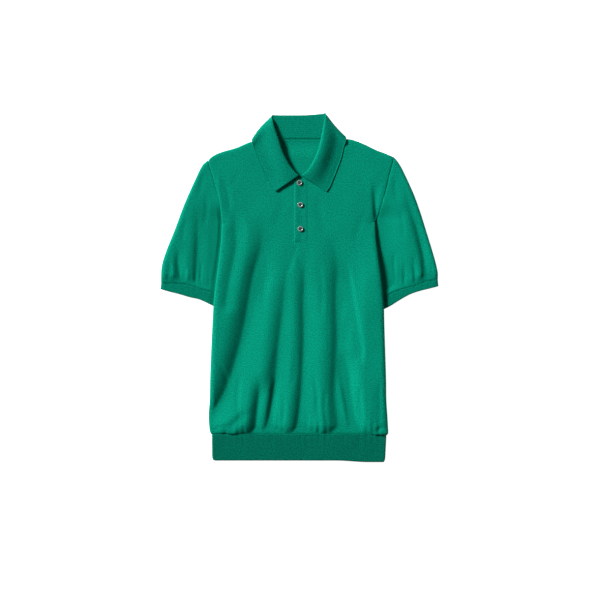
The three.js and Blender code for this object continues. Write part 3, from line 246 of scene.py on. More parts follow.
# Collar stations from the left front end round the back to the right one
COLLAR = table(
    "neck_x neck_y neck_z fold_x fold_y fold_z edge_x edge_y edge_z lift bow",
    (-6.5, 236.8, 7.8, -0.6, 240.2, 11.4, -50, 206.4, 0, 1.6, 0),
    (-20.5, 241.4, 7.7, -9.5, 249, 11.8, -58.5, 214, 0, 2.2, 0),
    (-37.5, 252.8, 7.6, -22.5, 266.5, 12, -68.6, 230.5, 0, 2.8, 0),
    (-52, 268.5, 7.5, -34.4, 291, 12, -78.6, 252.5, 0, 3, 0),
    (-61.4, 286.5, 7.4, -43, 317, 11.4, -88.6, 275, 0, 3, 0),
    (-65.6, 302, 7.2, -52.6, 343, 10.4, -97, 298, 0, 2.4, 0),
    (-65.9, 311, 6.6, -57, 358, 8.8, -100.3, 310.5, 9.6, 1.4, 2),
    (-65.9, 317.5, 5.4, -58.8, 364.5, 6, -100.8, 318.6, 6.4, 0, 3.6),
    (-63.5, 320, 3.9, -58, 369.2, 3.4, -94, 322, 3, -0.9, 2),
    (-56, 319.7, 3.1, -51, 369.4, 2.1, -78, 322.5, 0.9, -1.1, 0),
    (-40, 319.5, 2.95, -37, 369.2, 1.85, -52, 322.5, 0.75, -1.1, 0),
    (-20, 319.5, 2.95, -18, 369.2, 1.85, -26, 322.5, 0.75, -1.1, 0),
    (0, 319.5, 2.95, 0, 369.2, 1.85, 0, 322.5, 0.75, -1.1, 0),
    (20, 319.5, 2.95, 18, 369.6, 1.85, 26, 322.5, 0.75, -1.1, 0),
    (40, 319.5, 2.95, 37, 371, 1.85, 52, 322.5, 0.75, -1.1, 0),
    (56, 319.7, 3.1, 50, 372.2, 2.1, 78, 322.5, 0.9, -1.1, 0),
    (63.5, 320, 3.9, 56.6, 373.6, 3.4, 94, 324.5, 3, -0.9, -0.8),
    (65.9, 317.5, 5.4, 57.6, 370, 6.2, 100.6, 323, 6.8, 0, -1.6),
    (65.9, 311, 6.6, 56.2, 363, 9.2, 100, 312, 9.8, 1.6, -0.8),
    (65.9, 302, 7.2, 53, 348, 11.4, 96.6, 303, 0, 2.8, 0),
    (62.2, 286.5, 7.4, 47.6, 321, 12.8, 91, 279, 0, 3.6, 0),
    (53, 268.5, 7.5, 41, 295.6, 13.4, 83, 256.5, 0, 3.8, 0),
    (39.2, 252.8, 7.6, 31.4, 272.5, 13.2, 74, 234, 0, 3.4, 0),
    (24, 241.6, 7.7, 18.6, 251, 12.6, 65.8, 215, 0, 2.4, 0),
    (10, 236.8, 7.8, 4.8, 240.4, 12, 59, 205.6, 0, 1.6, 0),
)

COLLAR_WALL = 1.5
LEAF_OVER_FRONT = 1.55
LEAF_TIP_LIFT = {"left": 2.4, "right": 0.7}
LEAF_FALL = ((0.14, -0.04), (0.28, 0.12), (0.42, 0.42), (0.56, 0.73), (0.7, 0.92), (0.84, 1), (0.95, 1.06))


def ease(t):
    """A smooth step from 0 to 1."""
    t = np.clip(t, 0, 1)
    return t * t * (3 - 2 * t)


def mix(a, b, t):
    return a + (b - a) * t


def bump(distance, half_width):
    """Half a cosine: 1 in the middle, 0 at the half width and beyond."""
    return 0.5 + 0.5 * np.cos(math.pi * np.clip(np.abs(distance) / half_width, 0, 1))


def lookup(rows, key, column, at):
    """A column of a table anywhere along another, on a smooth curve through its rows."""
    order = np.argsort(rows[key])
    keys, values = rows[key][order], rows[column][order]
    slopes = np.empty_like(values)
    slopes[1:-1] = (values[2:] - values[:-2]) / (keys[2:] - keys[:-2])
    slopes[0] = (values[1] - values[0]) / (keys[1] - keys[0])
    slopes[-1] = (values[-1] - values[-2]) / (keys[-1] - keys[-2])
    at = np.clip(at, keys[0], keys[-1])
    i = np.clip(np.searchsorted(keys, at, side="right") - 1, 0, len(keys) - 2)
    span = keys[i + 1] - keys[i]
    t = (at - keys[i]) / span
    straight = mix(values[i], values[i + 1], ease(t))
    start = (t - 2 * t**2 + t**3) * span * slopes[i]
    end = (t**3 - t**2) * span * slopes[i + 1]
    return straight + start + end


def body_edge(side, y):
    return lookup(BODY_EDGE, "y", side, y)


def armhole(side, y):
    return lookup(ARMHOLE, "y", side, y)


def shoulder(x):
    return lookup(SHOULDER, "x", "y", x)


def curve_through(points, steps):
    """A smooth curve through an array's rows, with a number of steps between each two."""
    padded = np.concatenate([2 * points[:1] - points[1:2], points, 2 * points[-1:] - points[-2:-1]])
    before, start, end, after = padded[:-3], padded[1:-2], padded[2:-1], padded[3:]
    made = []
    for i in range(steps):
        t = i / steps
        made.append(0.5 * (
            2 * start + (end - before) * t
            + (2 * before - 5 * start + 4 * end - after) * t**2
            + (3 * start - before - 3 * end + after) * t**3
        ))
    spans = np.stack(made, axis=1).reshape(-1, *points.shape[1:])
    return np.concatenate([spans, points[-1:]])


def evenly_along(points):
    """A function that gives the place at any fraction of the length of a smooth plan curve."""
    dense = curve_through(np.array(points, float), 24)
    lengths = np.concatenate([[0], np.cumsum(np.hypot(*np.diff(dense, axis=0).T))])
    lengths /= lengths[-1]

    def place(fraction):
        return np.interp(fraction, lengths, dense[:, 0]), np.interp(fraction, lengths, dense[:, 1])

    return place


FOLD_ROUND = 0.14
FOLD_POWER = {"left": 2.2, "right": 1.3}


def trough(off, left, right):
    """A trough that is steepest beside its line: 1 on the line, 0 at the reach of either side."""
    reach = np.where(off < 0, left, right)
    power = np.where(off < 0, FOLD_POWER["left"], FOLD_POWER["right"])
    share = (reach - np.hypot(off, reach * FOLD_ROUND)) / (reach * (1 - FOLD_ROUND))
    return np.clip(share, 0, 1) ** power


def fold_depth(folds, x, y):
    """Depth of all the folds at each place."""
    depth = np.zeros(np.broadcast(x, y).shape)
    for fold_ in folds.values():
        grown = ease((fold_["top"] - y) / fold_["fade"]) * ease((y - fold_["bottom"]) / 25)
        off = x - lookup(fold_["path"], "y", "x", y)
        depth += fold_["depth"] * grown * trough(off, fold_["left"], fold_["right"])
    return depth


def gather_depth(x, y):
    """Depth of the gathers where the front is drawn into the hem rib."""
    above = np.maximum(0, y - HEM_SEAM_Y)
    depth = sum(
        deep * bump(x - at, half_width) * np.exp(-above / reach)
        for at, deep, half_width, reach in zip(*FRONT_GATHERS.values())
    )
    return depth * (0.25 + 0.75 * ease(above / 9))


def crease_depth(creases, x, y):
    """Depth of small creases, each curved a little along its own line and deepest in its middle."""
    depth = np.zeros(np.broadcast(x, y).shape)
    columns = [creases[name] for name in ("x1", "y1", "x2", "y2", "depth", "width")]
    for number, (x1, y1, x2, y2, deep, width) in enumerate(zip(*columns)):
        length = math.hypot(x2 - x1, y2 - y1)
        share = ((x - x1) * (x2 - x1) + (y - y1) * (y2 - y1)) / length**2
        off = ((x - x1) * (y2 - y1) - (y - y1) * (x2 - x1)) / length
        bend = CREASE_BEND * length * (1 if number % 2 else -1)
        strength = np.clip(4 * share * (1 - share), 0, 1)
        depth += deep * ease(strength) * bump(off + bend * strength, width)
    return depth


CREASE_BEND = 0.05
SOFT_WAVES = table(
    "height across along shift",
    (0.16, 0.021, 0.034, 0.4), (0.14, -0.043, 0.027, 1.9), (0.1, 0.067, -0.021, 3.1),
    (0.08, 0.094, 0.051, 5.2), (0.05, -0.13, 0.089, 0.9),
)


def soft_waves(x, y):
    """Slight unevenness of laid cloth, in millimetres."""
    columns = [SOFT_WAVES[name] for name in ("height", "across", "along", "shift")]
    return sum(h * np.sin(a * x + b * y + shift) for h, a, b, shift in zip(*columns))


def front_height(x, y):
    """Height of the front's middle surface as the solid has it."""
    plateau = lookup(FRONT_PLATEAU, "y", "height", y)
    height = plateau - fold_depth(FRONT_FOLDS, x, y) - gather_depth(x, y)
    flank = bump(x - RIGHT_FLANK["x"], RIGHT_FLANK["half_width"])
    height = height + RIGHT_FLANK["rise"] * flank * bump(y - RIGHT_FLANK["y"], RIGHT_FLANK["reach"])
    lowest = LOWEST_TOP + 0.4
    return np.where(height > lowest + 1, height, lowest + np.exp(np.minimum(height - lowest - 1, 0)))


def seam_groove(distance, deep=0.8, reach=2.6):
    """The dip of the cloth towards a seam."""
    return deep * np.exp(-((distance / reach) ** 2))


SEAM_DIP = {"left": 0.16, "right": 0.45}


def armpit_drop(side, x, y):
    """How far the front sinks towards the seam at the armpit."""
    outline = np.where(y > ARMPIT_Y, armhole(side, y), body_edge(side, y))
    low = 1 - ease(np.where(y > ARMPIT_Y, y - ARMPIT_Y, 2.8 * (ARMPIT_Y - y)) / 45)
    near = 1 - ease(np.abs(x - outline) / 26)
    return 1.8 * low * near


def front_surface(x, y):
    """The front's middle surface with its small creases and the dips at its seams."""
    height = front_height(x, y) - fold_depth(FINE_FOLDS, x, y) + soft_waves(x, y)
    height = height - crease_depth(FRONT_CREASES, x, y)
    for side in ("left", "right"):
        height = height - seam_groove(x - armhole(side, y), SEAM_DIP[side]) * ease((y - ARMPIT_Y) / 16)
        height = height - armpit_drop(side, x, y)
    return height - seam_groove(y - HEM_SEAM_Y, 1.2, 3)


class Sheet:
    """An open sheet through the middle of the cloth, made in rows of points, then given its wall.

    Each point also has its place in the knitting, across and along it in millimetres.
    """

    def __init__(self):
        self.points = []
        self.knit = []
        self.faces = []
        self.count = 0

    def rows(self, points, knit=None, joined=True):
        """Add rows of points and return their numbers."""
        shape = points.shape[:2]
        if knit is None:
            knit = points[..., :2]
        numbers = self.count + np.arange(shape[0] * shape[1]).reshape(shape)
        self.points.append(points.reshape(-1, 3))
        self.knit.append(np.broadcast_to(knit, (*shape, 2)).reshape(-1, 2))
        self.count += numbers.size
        if joined:
            self.join(numbers)
        return numbers

    def join(self, numbers):
        """Join neighbouring rows of points by squares."""
        low, high = numbers[:-1], numbers[1:]
        squares = np.stack([low[:, :-1], low[:, 1:], high[:, 1:], high[:, :-1]], axis=-1)
        self.faces.extend(squares.reshape(-1, 4).tolist())

    def fan(self, row, point):
        """Join a row to a single point above it."""
        self.faces.extend([int(a), int(b), int(point)] for a, b in zip(row[:-1], row[1:]))

    def turned(self):
        """Swap the sheet's two sides."""
        self.faces = [face[::-1] for face in self.faces]
        return self

    def compact(self):
        """The points that faces use, their places in the knitting and the renumbered faces."""
        points, knit = np.concatenate(self.points), np.concatenate(self.knit)
        used = np.zeros(len(points), bool)
        for face in self.faces:
            used[face] = True
        new = np.cumsum(used) - 1
        return points[used], knit[used], [new[face].tolist() for face in self.faces]

    def thicken(self, wall, round_edge=0.35):
        """Two skins and a rounded rim along every open edge."""
        points, knit, faces = self.compact()
        corners = np.array([face if len(face) == 4 else [*face, face[-1]] for face in faces])
        at = points[corners]
        across = np.cross(at[:, 2] - at[:, 0], at[:, 3] - at[:, 1])
        normals = np.zeros_like(points)
        for k in range(4):
            np.add.at(normals, corners[:, k], across)
        normals /= np.linalg.norm(normals, axis=1, keepdims=True)
        directed = {(face[k - 1], face[k]) for face in faces for k in range(len(face))}
        rim = [(a, b) for a, b in directed if (b, a) not in directed]
        rim.sort()
        outward = np.zeros_like(points)
        for a, b in rim:
            out = np.cross(points[b] - points[a], normals[a])
            outward[[a, b]] += out / max(np.linalg.norm(out), 1e-9)
        edge_points = sorted({a for pair in rim for a in pair})
        lengths = np.linalg.norm(outward[edge_points], axis=1, keepdims=True)
        middles = points[edge_points] + outward[edge_points] / np.maximum(lengths, 1e-9) * wall * round_edge
        count = len(points)
        middle = {point: 2 * count + i for i, point in enumerate(edge_points)}
        made = [*faces, *[[p + count for p in reversed(face)] for face in faces]]
        for a, b in rim:
            made.append([b, a, middle[a], middle[b]])
            made.append([middle[b], middle[a], a + count, b + count])
        skins = [points + normals * wall / 2, points - normals * wall / 2, middles]
        return np.concatenate(skins), np.concatenate([knit, knit, knit[edge_points]]), made


def add_piece(name, points, knit, faces, finish, stands_for=()):
    """A smooth-shaded piece of the shirt that rides on the frame."""
    mesh = bpy.data.meshes.new(name)
    mesh.from_pydata((points + SHIFT) * MM, [], faces)
    mesh.shade_smooth()
    place = mesh.attributes.new("knit", "FLOAT_VECTOR", "POINT")
    values = np.zeros((len(points), 3), np.float32)
    values[:, :knit.shape[1]] = knit
    place.data.foreach_set("vector", values.ravel())
    mesh.materials.append(finish)
    piece = bpy.data.objects.new(name, mesh)
    bpy.context.scene.collection.objects.link(piece)
    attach(piece, "root")
    if stands_for:
        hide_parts(*stands_for)
    return piece


def add_sheet(name, sheet, wall, finish, stands_for=()):
    """A piece made of one sheet of cloth."""
    points, knit, faces = sheet.thicken(wall / MM)
    return add_piece(name, points, knit, faces, finish, stands_for)


def steps_for(length, grid):
    """How many steps of about the grid's size a length takes."""
    return max(2, round(length / (grid / MM)))


SLOT_RIM = 0.5


class RowPlan:
    """Where the columns of the body's panels stand, from one side over the placket to the other."""

    def __init__(self, grid):
        self.flank = steps_for(108, grid)
        self.neck = steps_for(52, grid)
        self.slot = steps_for(28.3, grid)
        self.slot_start = self.flank + self.neck
        self.slot_end = self.slot_start + self.slot

    def stations(self, left, right, neck_x):
        """Places across each row, for the rows' left and right ends."""
        left, right = np.atleast_1d(left), np.atleast_1d(right)

        def part(start, end, steps):
            shares = np.arange(steps) / steps
            return mix(start[:, None], end[:, None], shares)

        full = np.ones_like(left)
        beside = SLOT["left"] - SLOT_RIM, SLOT["right"] + SLOT_RIM
        return np.concatenate([
            part(left, -neck_x * full, self.flank),
            part(-neck_x * full, beside[0] * full, self.neck - 1),
            part(beside[0] * full, SLOT["left"] * full, 1),
            part(SLOT["left"] * full, SLOT["right"] * full, self.slot),
            part(SLOT["right"] * full, beside[1] * full, 1),
            part(beside[1] * full, neck_x * full, self.neck - 1),
            part(neck_x * full, right, self.flank),
            right[:, None],
        ], axis=1)

    def upper(self, fractions, top_of):
        """Plan of the rows above the armpits, from 0 at the armpits to 1 at the panel's top."""
        tops = {side: TIP_Y[side] - ROLL for side in TIP_Y}
        low = self.stations(armhole("left", ARMPIT_Y), armhole("right", ARMPIT_Y), NECK_COLUMN_LOW)[0]
        high = self.stations(armhole("left", tops["left"]), armhole("right", tops["right"]), NECK_X)[0]
        f = np.asarray(fractions)[:, None]
        x = mix(low, high, f)
        last = len(low) - 1
        number = np.arange(len(low))
        for side, end, steps in (("left", 0, number), ("right", last, last - number)):
            shift = armhole(side, mix(ARMPIT_Y, tops[side], f)) - mix(low[end], high[end], f)
            x = x + shift * np.clip(1 - steps / self.flank, 0, 1)
        top = top_of(high)
        top[0], top[-1] = tops["left"], tops["right"]
        return x, mix(ARMPIT_Y, top, f)


def front_top(x):
    """Top of the front's main surface: below the shoulder's roll, and along the neck seam."""
    top = shoulder(x) - ROLL
    left = (x > -NECK_X) & (x <= SLOT["left"])
    right = (x < NECK_X) & (x >= SLOT["right"])
    top = np.where(left, lookup(NECK_SEAM_LEFT, "x", "y", x), top)
    top = np.where(right, lookup(NECK_SEAM_RIGHT, "x", "y", x), top)
    return np.where((x > SLOT["left"]) & (x < SLOT["right"]), BAND_TOP_Y, top)




def side_roll(side, y, steps):
    """The rows' stretch that rolls over the side and turns under, from its hidden edge out."""
    inward = INWARD[side]
    edge = body_edge(side, y)
    tuck = TUCK * np.clip((ARMPIT_Y - y) / TUCK_GROWTH, 0, 1)
    top = front_surface(edge + inward * ROLL, y)
    under = FLOOR_LAYER + STEP_OVER_SLEEVE * ease((y + 66) / 16)
    hemmed = ease((y - HEM_SEAM_Y) / 24)
    still = np.ones_like(y)
    shape = [
        (tuck, FLOOR_LAYER * still),
        (tuck * 0.82, mix(FLOOR_LAYER, under, 0.1)),
        (tuck * 0.52, under),
        (np.maximum(1.2, tuck * 0.18), under + 0.25 * hemmed),
        (SOLID_WALL / 2 * still, mix(under, top, 0.45)),
        (mix(1.6, 3, hemmed), mix(under, top, 0.86)),
        (ROLL * still, top),
    ]
    places = np.array([[edge + inward * inset, y, z] for inset, z in shape])
    curve = curve_through(places.transpose(0, 2, 1), steps)[:-1]
    curve[:, :, 2] = np.maximum(curve[:, :, 2], FLOOR_LAYER)
    return curve.transpose(1, 0, 2)


def rolled_knit(points, edge_x, inward):
    """Places in the knitting along a roll, measured round it from where the flat part starts."""
    start = np.array([edge_x + inward * ROLL]).T
    path = np.concatenate([points, points[:, -1:]], axis=1)
    lengths = np.linalg.norm(np.diff(path, axis=1), axis=2)
    around = np.cumsum(lengths[:, ::-1], axis=1)[:, ::-1]
    return np.stack([start - inward * around, points[..., 1]], axis=-1)


def front_sheet(grid):
    """The front: flat and folded in the middle, rolled under at its sides and shoulders."""
    sheet = Sheet()
    plan = RowPlan(grid)
    slot_y, armpit_y = SLOT["bottom"], ARMPIT_Y - 1
    low_y = np.linspace(HEM_SEAM_Y + SEAM_GAP, slot_y - SLOT_RIM, steps_for(slot_y - HEM_SEAM_Y, grid) + 1)
    low_y = np.append(low_y, slot_y)
    side_y = np.linspace(slot_y, armpit_y, steps_for(armpit_y - slot_y, grid) + 1)[1:]
    y = np.concatenate([low_y, side_y])
    x = plan.stations(body_edge("left", y) + ROLL, body_edge("right", y) - ROLL, NECK_COLUMN_LOW)
    across_y = np.broadcast_to(y[:, None], x.shape)
    main = sheet.rows(np.stack([x, across_y, front_surface(x, across_y)], axis=-1), joined=False)
    rolls = {}
    for side in INWARD:
        points = side_roll(side, y, 3)
        knit = rolled_knit(points, body_edge(side, y), INWARD[side])
        if side == "right":
            points, knit = points[:, ::-1], knit[:, ::-1]
        rolls[side] = sheet.rows(points, knit, joined=False)
    sheet.join(np.hstack([rolls["left"], main[:, :1]]))
    sheet.join(np.hstack([main[:, -1:], rolls["right"]]))

    fractions = np.linspace(0, 1, steps_for(128, grid) + 1)
    x, y = plan.upper(fractions, front_top)
    height = front_surface(x, y)
    x[:, 0] += SEAM_GAP / 2
    x[:, -1] -= SEAM_GAP / 2
    upper_points = np.stack([x, y, height], axis=-1)
    upper = sheet.rows(upper_points, joined=False)
    sheet.fan([*rolls["left"][-1], main[-1, 0]], upper[0, 0])
    sheet.fan([main[-1, -1], *rolls["right"][-1]], upper[0, -1])

    foot = len(low_y)
    sheet.join(main[:foot])
    beside_slot = np.vstack([main[foot - 1:], upper])
    sheet.join(beside_slot[:, :plan.slot_start + 1])
    sheet.join(beside_slot[:, plan.slot_end:])
    for columns in (slice(0, plan.flank + 1), slice(-plan.flank - 1, None)):
        roll_shoulder(sheet, upper[-1, columns], upper_points[-1, columns])
    sheet.points = [blouse(points) for points in sheet.points]
    return sheet


def blouse(points):
    """The front's foot, which hangs over the hem rib at both ends."""
    x, y, z = points.T
    ends = ease((-x - 112) / 55) + ease((x - 146) / 24)
    share = ends * np.exp(-((y - HEM_SEAM_Y) / 13) ** 2) * ease((z - 1.6) / 2)
    return np.stack([x, y - 4.4 * share, z + 3.2 * share], axis=-1)


SHOULDER_ROLL = ((ROLL, 1), (3, 0.86), (SOLID_WALL / 2, 0.45), (2.4, 0.05), (SHOULDER_TUCK, 0))


def roll_shoulder(sheet, numbers, start):
    """The shoulder's own rows: over the roll and under to the hidden edge beside the back."""
    shape = [
        np.stack([
            start[:, 0], start[:, 1] + ROLL - inset, mix(FLOOR_LAYER, start[:, 2], high)
        ], axis=-1)
        for inset, high in SHOULDER_ROLL
    ]
    curve = curve_through(np.array(shape), 3)
    curve[..., 2] = np.maximum(curve[..., 2], FLOOR_LAYER)
    lengths = np.cumsum(np.linalg.norm(np.diff(curve, axis=0), axis=2), axis=0)
    knit = np.stack([curve[1:, :, 0], start[:, 1] + lengths], axis=-1)
    rolled = sheet.rows(curve[1:], knit, joined=False)
    sheet.join(np.vstack([numbers[None], rolled]))


BACK_CREASES = table(
    "x1 y1 x2 y2 depth width",
    (-60, 250, -76, -60, 0.5, 16), (48, 240, 70, -40, 0.55, 18), (-8, 120, 4, -200, 0.4, 15),
    (-120, 90, -138, -200, 0.5, 14), (122, 100, 140, -180, 0.45, 16), (-40, -120, -52, -300, 0.5, 10),
    (24, -150, 30, -305, 0.45, 9), (92, -170, 100, -300, 0.5, 10), (-96, -200, -104, -306, 0.4, 9),
    (-140, -230, -146, -308, 0.4, 8), (138, -220, 146, -306, 0.4, 9), (-150, 160, -110, 110, 0.35, 14),
    (150, 165, 112, 118, 0.35, 14), (-20, 290, 30, 262, 0.3, 12),
)


def back_top(x):
    """Top of the back: inside the shoulder's turned edge, and straight across at the neck."""
    top = shoulder(x) - SHOULDER_TUCK - SEAM_GAP
    reach = np.clip((NECK_X - np.abs(x)) / 4, 0, 1)
    return mix(top, BACK_NECK_Y, reach)


def back_sheet(grid):
    """The back, flat on the table inside the front's turned-under edges."""
    sheet = Sheet()
    plan = RowPlan(grid)
    y = np.linspace(HEM_SEAM_Y + SEAM_GAP, ARMPIT_Y - 0.5, steps_for(456, grid) + 1)
    tuck = (TUCK + SEAM_GAP) * np.clip((ARMPIT_Y - y) / TUCK_GROWTH, 0, 1) + SEAM_GAP
    x = plan.stations(body_edge("left", y) + tuck, body_edge("right", y) - tuck, NECK_COLUMN_LOW)
    upper_x, upper_y = plan.upper(np.linspace(0.01, 1, steps_for(140, grid) + 1), back_top)
    upper_x[:, 0] += SEAM_GAP
    upper_x[:, -1] -= SEAM_GAP
    x = np.vstack([x, upper_x])
    y = np.vstack([np.broadcast_to(y[:, None], (len(y), x.shape[1])), upper_y])
    sheet.rows(np.stack([x, y, back_height(x, y)], axis=-1))
    return sheet


def back_height(x, y):
    """The back's middle surface: flat with soft ridges, higher inside the neck and at its seam."""
    inside = ease((306 - y) / 26) * ease((y - 226) / 22) * (1 - ease((np.abs(x) - 28) / 30))
    allowance = ease((y - 314.4) / 1.8) * (1 - ease((np.abs(x) - 58) / 5))
    return FLOOR_LAYER + crease_depth(BACK_CREASES, x, y) + 2.8 * inside + 1.5 * allowance


STEEP_RISE = 9


def sleeve_height(side, fraction, x, y):
    """Height of a sleeve's upper layer: low beneath the body, full beside it, low again at the cuff."""
    sleeve = SLEEVES[side]
    above_armpit = y > ARMPIT_Y
    outline = np.where(above_armpit, armhole(side, y), body_edge(side, y))
    beyond = sleeve["sign"] * (x - outline)
    seam_height = front_height(x, y)
    base = mix(LOWEST_TOP, seam_height, ease((y - ARMPIT_Y - 4) / 40))
    plateau = mix(seam_height, SLEEVE_PLATEAU, ease(fraction / 0.3))
    lie, rise, steep = sleeve["beside_body"]
    out = beyond - 1 - lie * (1 - ease((y - ARMPIT_Y) / 40))
    height = mix(base, plateau, mix(ease(out / rise), ease(out / STEEP_RISE), steep))
    height = height - fold_depth(sleeve["folds"], x, y) * ease(beyond / 20)
    height = height - crease_depth(sleeve["creases"], x, y) * ease(beyond / 14)
    height = height + soft_waves(x, y)
    above = np.maximum(0, y - lookup(table("x y", *sleeve["cuff_top"]), "x", "y", x))
    near = np.exp(-above / SLEEVE_GATHER["reach"])
    gathers = sum(bump(x - at, SLEEVE_GATHER["half_width"]) for at in sleeve["gathers"])
    height = height - SLEEVE_GATHER["depth"] * gathers * near * ease(above / 10) * ease(beyond / 10)
    low = mix(LOWEST_TOP, CUFF_TOP, ease(beyond / 12))
    height = mix(np.minimum(CUFF_TOP, low), height, ease(above / 20))
    height = height - seam_groove(beyond, SEAM_DIP[side]) * ease((y - ARMPIT_Y) / 16)
    return np.maximum(LOWEST_TOP, height)


def sleeve_place(side, fractions):
    """A function that gives the plan of a sleeve's rings, from the armhole (0) to the cuff seam (1)."""
    sleeve = SLEEVES[side]
    f = fractions[:, None]
    outward = sleeve["sign"] * SEAM_GAP / 2
    seam_y = np.linspace(TIP_Y[side], ARMPIT_Y, 21)

    def inner_x(y):
        grown = np.clip((ARMPIT_Y - 3 - y) / TUCK_GROWTH, 0, 1)
        return body_edge(side, y) - sleeve["sign"] * SLEEVE_UNDER_BODY * grown

    under_y = np.array([132, 125, UNDERARM_Y])
    seam = np.concatenate([
        np.stack([armhole(side, seam_y) + outward, seam_y], axis=-1),
        np.stack([inner_x(under_y), under_y], axis=-1),
    ])
    cuff = np.array(sleeve["cuff_top"], float)
    outer_path = evenly_along([seam[0], *sleeve["outer"][1:]])
    along_seam, along_cuff = evenly_along(seam), evenly_along(cuff)
    inner_y = mix(UNDERARM_Y, cuff[-1, 1], f)
    inner = mix(inner_x(inner_y), cuff[-1, 0], f**4), inner_y
    outer = outer_path(f)

    def place(s):
        ends = zip(along_seam(s), along_cuff(s), outer, inner, (0, 1))
        return [
            mix(a, b, f)
            + (1 - s) * (out - mix(seam[0, axis], cuff[0, axis], f))
            + s * (within - mix(seam[-1, axis], cuff[-1, axis], f))
            for a, b, out, within, axis in ends
        ]

    return place


def ring_lengths(place, count):
    """The plan length of each ring, from its outer to its inner edge."""
    x, y = place(np.broadcast_to(np.linspace(0, 1, 49), (count, 49)))
    return np.hypot(np.diff(x, axis=1), np.diff(y, axis=1)).sum(axis=1, keepdims=True)


OUTER_RISE = (1.1, 1.7, 2.4, 3.2, 4.2, 5.4, 6.8, 8.3, 10)
INNER_TURN = ((3, 1), (1.4, 1), (0.6, 0.85), (0.3, 0.5), (0.6, 0.15), (1.4, 0))


def flat_rings(place, fractions, height_at, wall, top_steps):
    """Closed flat rings of cloth: over the top from the outer to the inner edge, and back beneath."""
    length = ring_lengths(place, len(fractions))
    floor = wall / 2

    def at(distance):
        x, y = place(distance / length)
        return x, y, height_at(x, y)

    middle = mix(floor, at(0 * length + 3)[2], 0.42)
    start = 0 * length + wall / 2
    rise = 0 * length + np.array(OUTER_RISE)
    top = SLEEVE_OUTER_ROLL + (length - 15) * np.linspace(0, 1, top_steps + 1)[1:]
    turn = length - np.array([inset for inset, _ in INNER_TURN])
    under = mix(length - 8, 8.6, np.linspace(0, 1, top_steps // 2 + 1))
    foot = 0 * length + np.array([4.6, 2.6, 1.4])
    distance = np.hstack([start, rise, top, turn, under, foot])
    x, y, height = at(distance)
    share = np.hstack([
        0 * length,
        np.sqrt(1 - (1 - (rise - floor) / (SLEEVE_OUTER_ROLL - floor)) ** 2),
        np.ones_like(top),
    ])
    above = share.shape[1]
    z = np.full_like(x, floor)
    z[:, :above] = mix(middle, height[:, :above], share)
    shares = np.array([high for _, high in INNER_TURN])
    z[:, above:above + len(shares)] = mix(floor, height[:, above:above + len(shares)], shares)
    z[:, -2:] = mix(floor, middle, np.array([0.06, 0.4]))
    around = np.hstack([distance[:, :above + 3], (2 * length - distance)[:, above + 3:]])
    return np.stack([x, y, z], axis=-1), around


def tube_sheet(points, around, along, turned):
    """Closed rings joined into a tube, the last point of each ring meeting its first."""
    sheet = Sheet()
    numbers = sheet.rows(points, np.stack([around, np.broadcast_to(along, around.shape)], axis=-1), joined=False)
    sheet.join(np.hstack([numbers, numbers[:, :1]]))
    return sheet.turned() if turned else sheet


SLEEVE_LENGTH = 262


def sleeve_sheet(side, grid):
    """A short sleeve, laid flat, from the armhole to its cuff."""
    fractions = np.linspace(0, 1, steps_for(SLEEVE_LENGTH, grid) + 1)
    f = fractions[:, None]
    points, around = flat_rings(
        sleeve_place(side, fractions), fractions,
        lambda x, y: sleeve_height(side, f, x, y), SOLID_WALL, steps_for(112, grid),
    )
    return tube_sheet(points, around, -f * SLEEVE_LENGTH, side == "left")


RIB_UNDER_SEAM = 0.8


def cuff_sheet(side, grid):
    """The ribbed cuff of a sleeve."""
    sleeve = SLEEVES[side]
    fractions = np.linspace(0, 1, steps_for(26, grid) + 1)
    f = fractions[:, None]
    along_top, along_bottom = evenly_along(sleeve["cuff_top"]), evenly_along(sleeve["cuff_bottom"])

    def place(s):
        (top_x, top_y), (low_x, low_y) = along_top(s), along_bottom(s)
        dropped = mix(-RIB_UNDER_SEAM / np.hypot(low_x - top_x, low_y - top_y), 1, f)
        return mix(top_x, low_x, dropped), mix(top_y, low_y, dropped)

    def height_at(x, y):
        beyond = sleeve["sign"] * (x - body_edge(side, y))
        low = SOLID_RIB_WALL * 1.5 + LAYER_GAP
        gathers = sum(bump(x - at, SLEEVE_GATHER["half_width"]) for at in sleeve["gathers"])
        drawn = 0.5 * gathers * (1 - f) ** 2 + 0.6 * np.exp(-((f / 0.1) ** 2))
        return mix(low, CUFF_TOP - drawn, ease(beyond / 12))

    points, around = flat_rings(place, fractions, height_at, SOLID_RIB_WALL, steps_for(112, grid))
    return tube_sheet(points, around, -f * 26, side == "left")


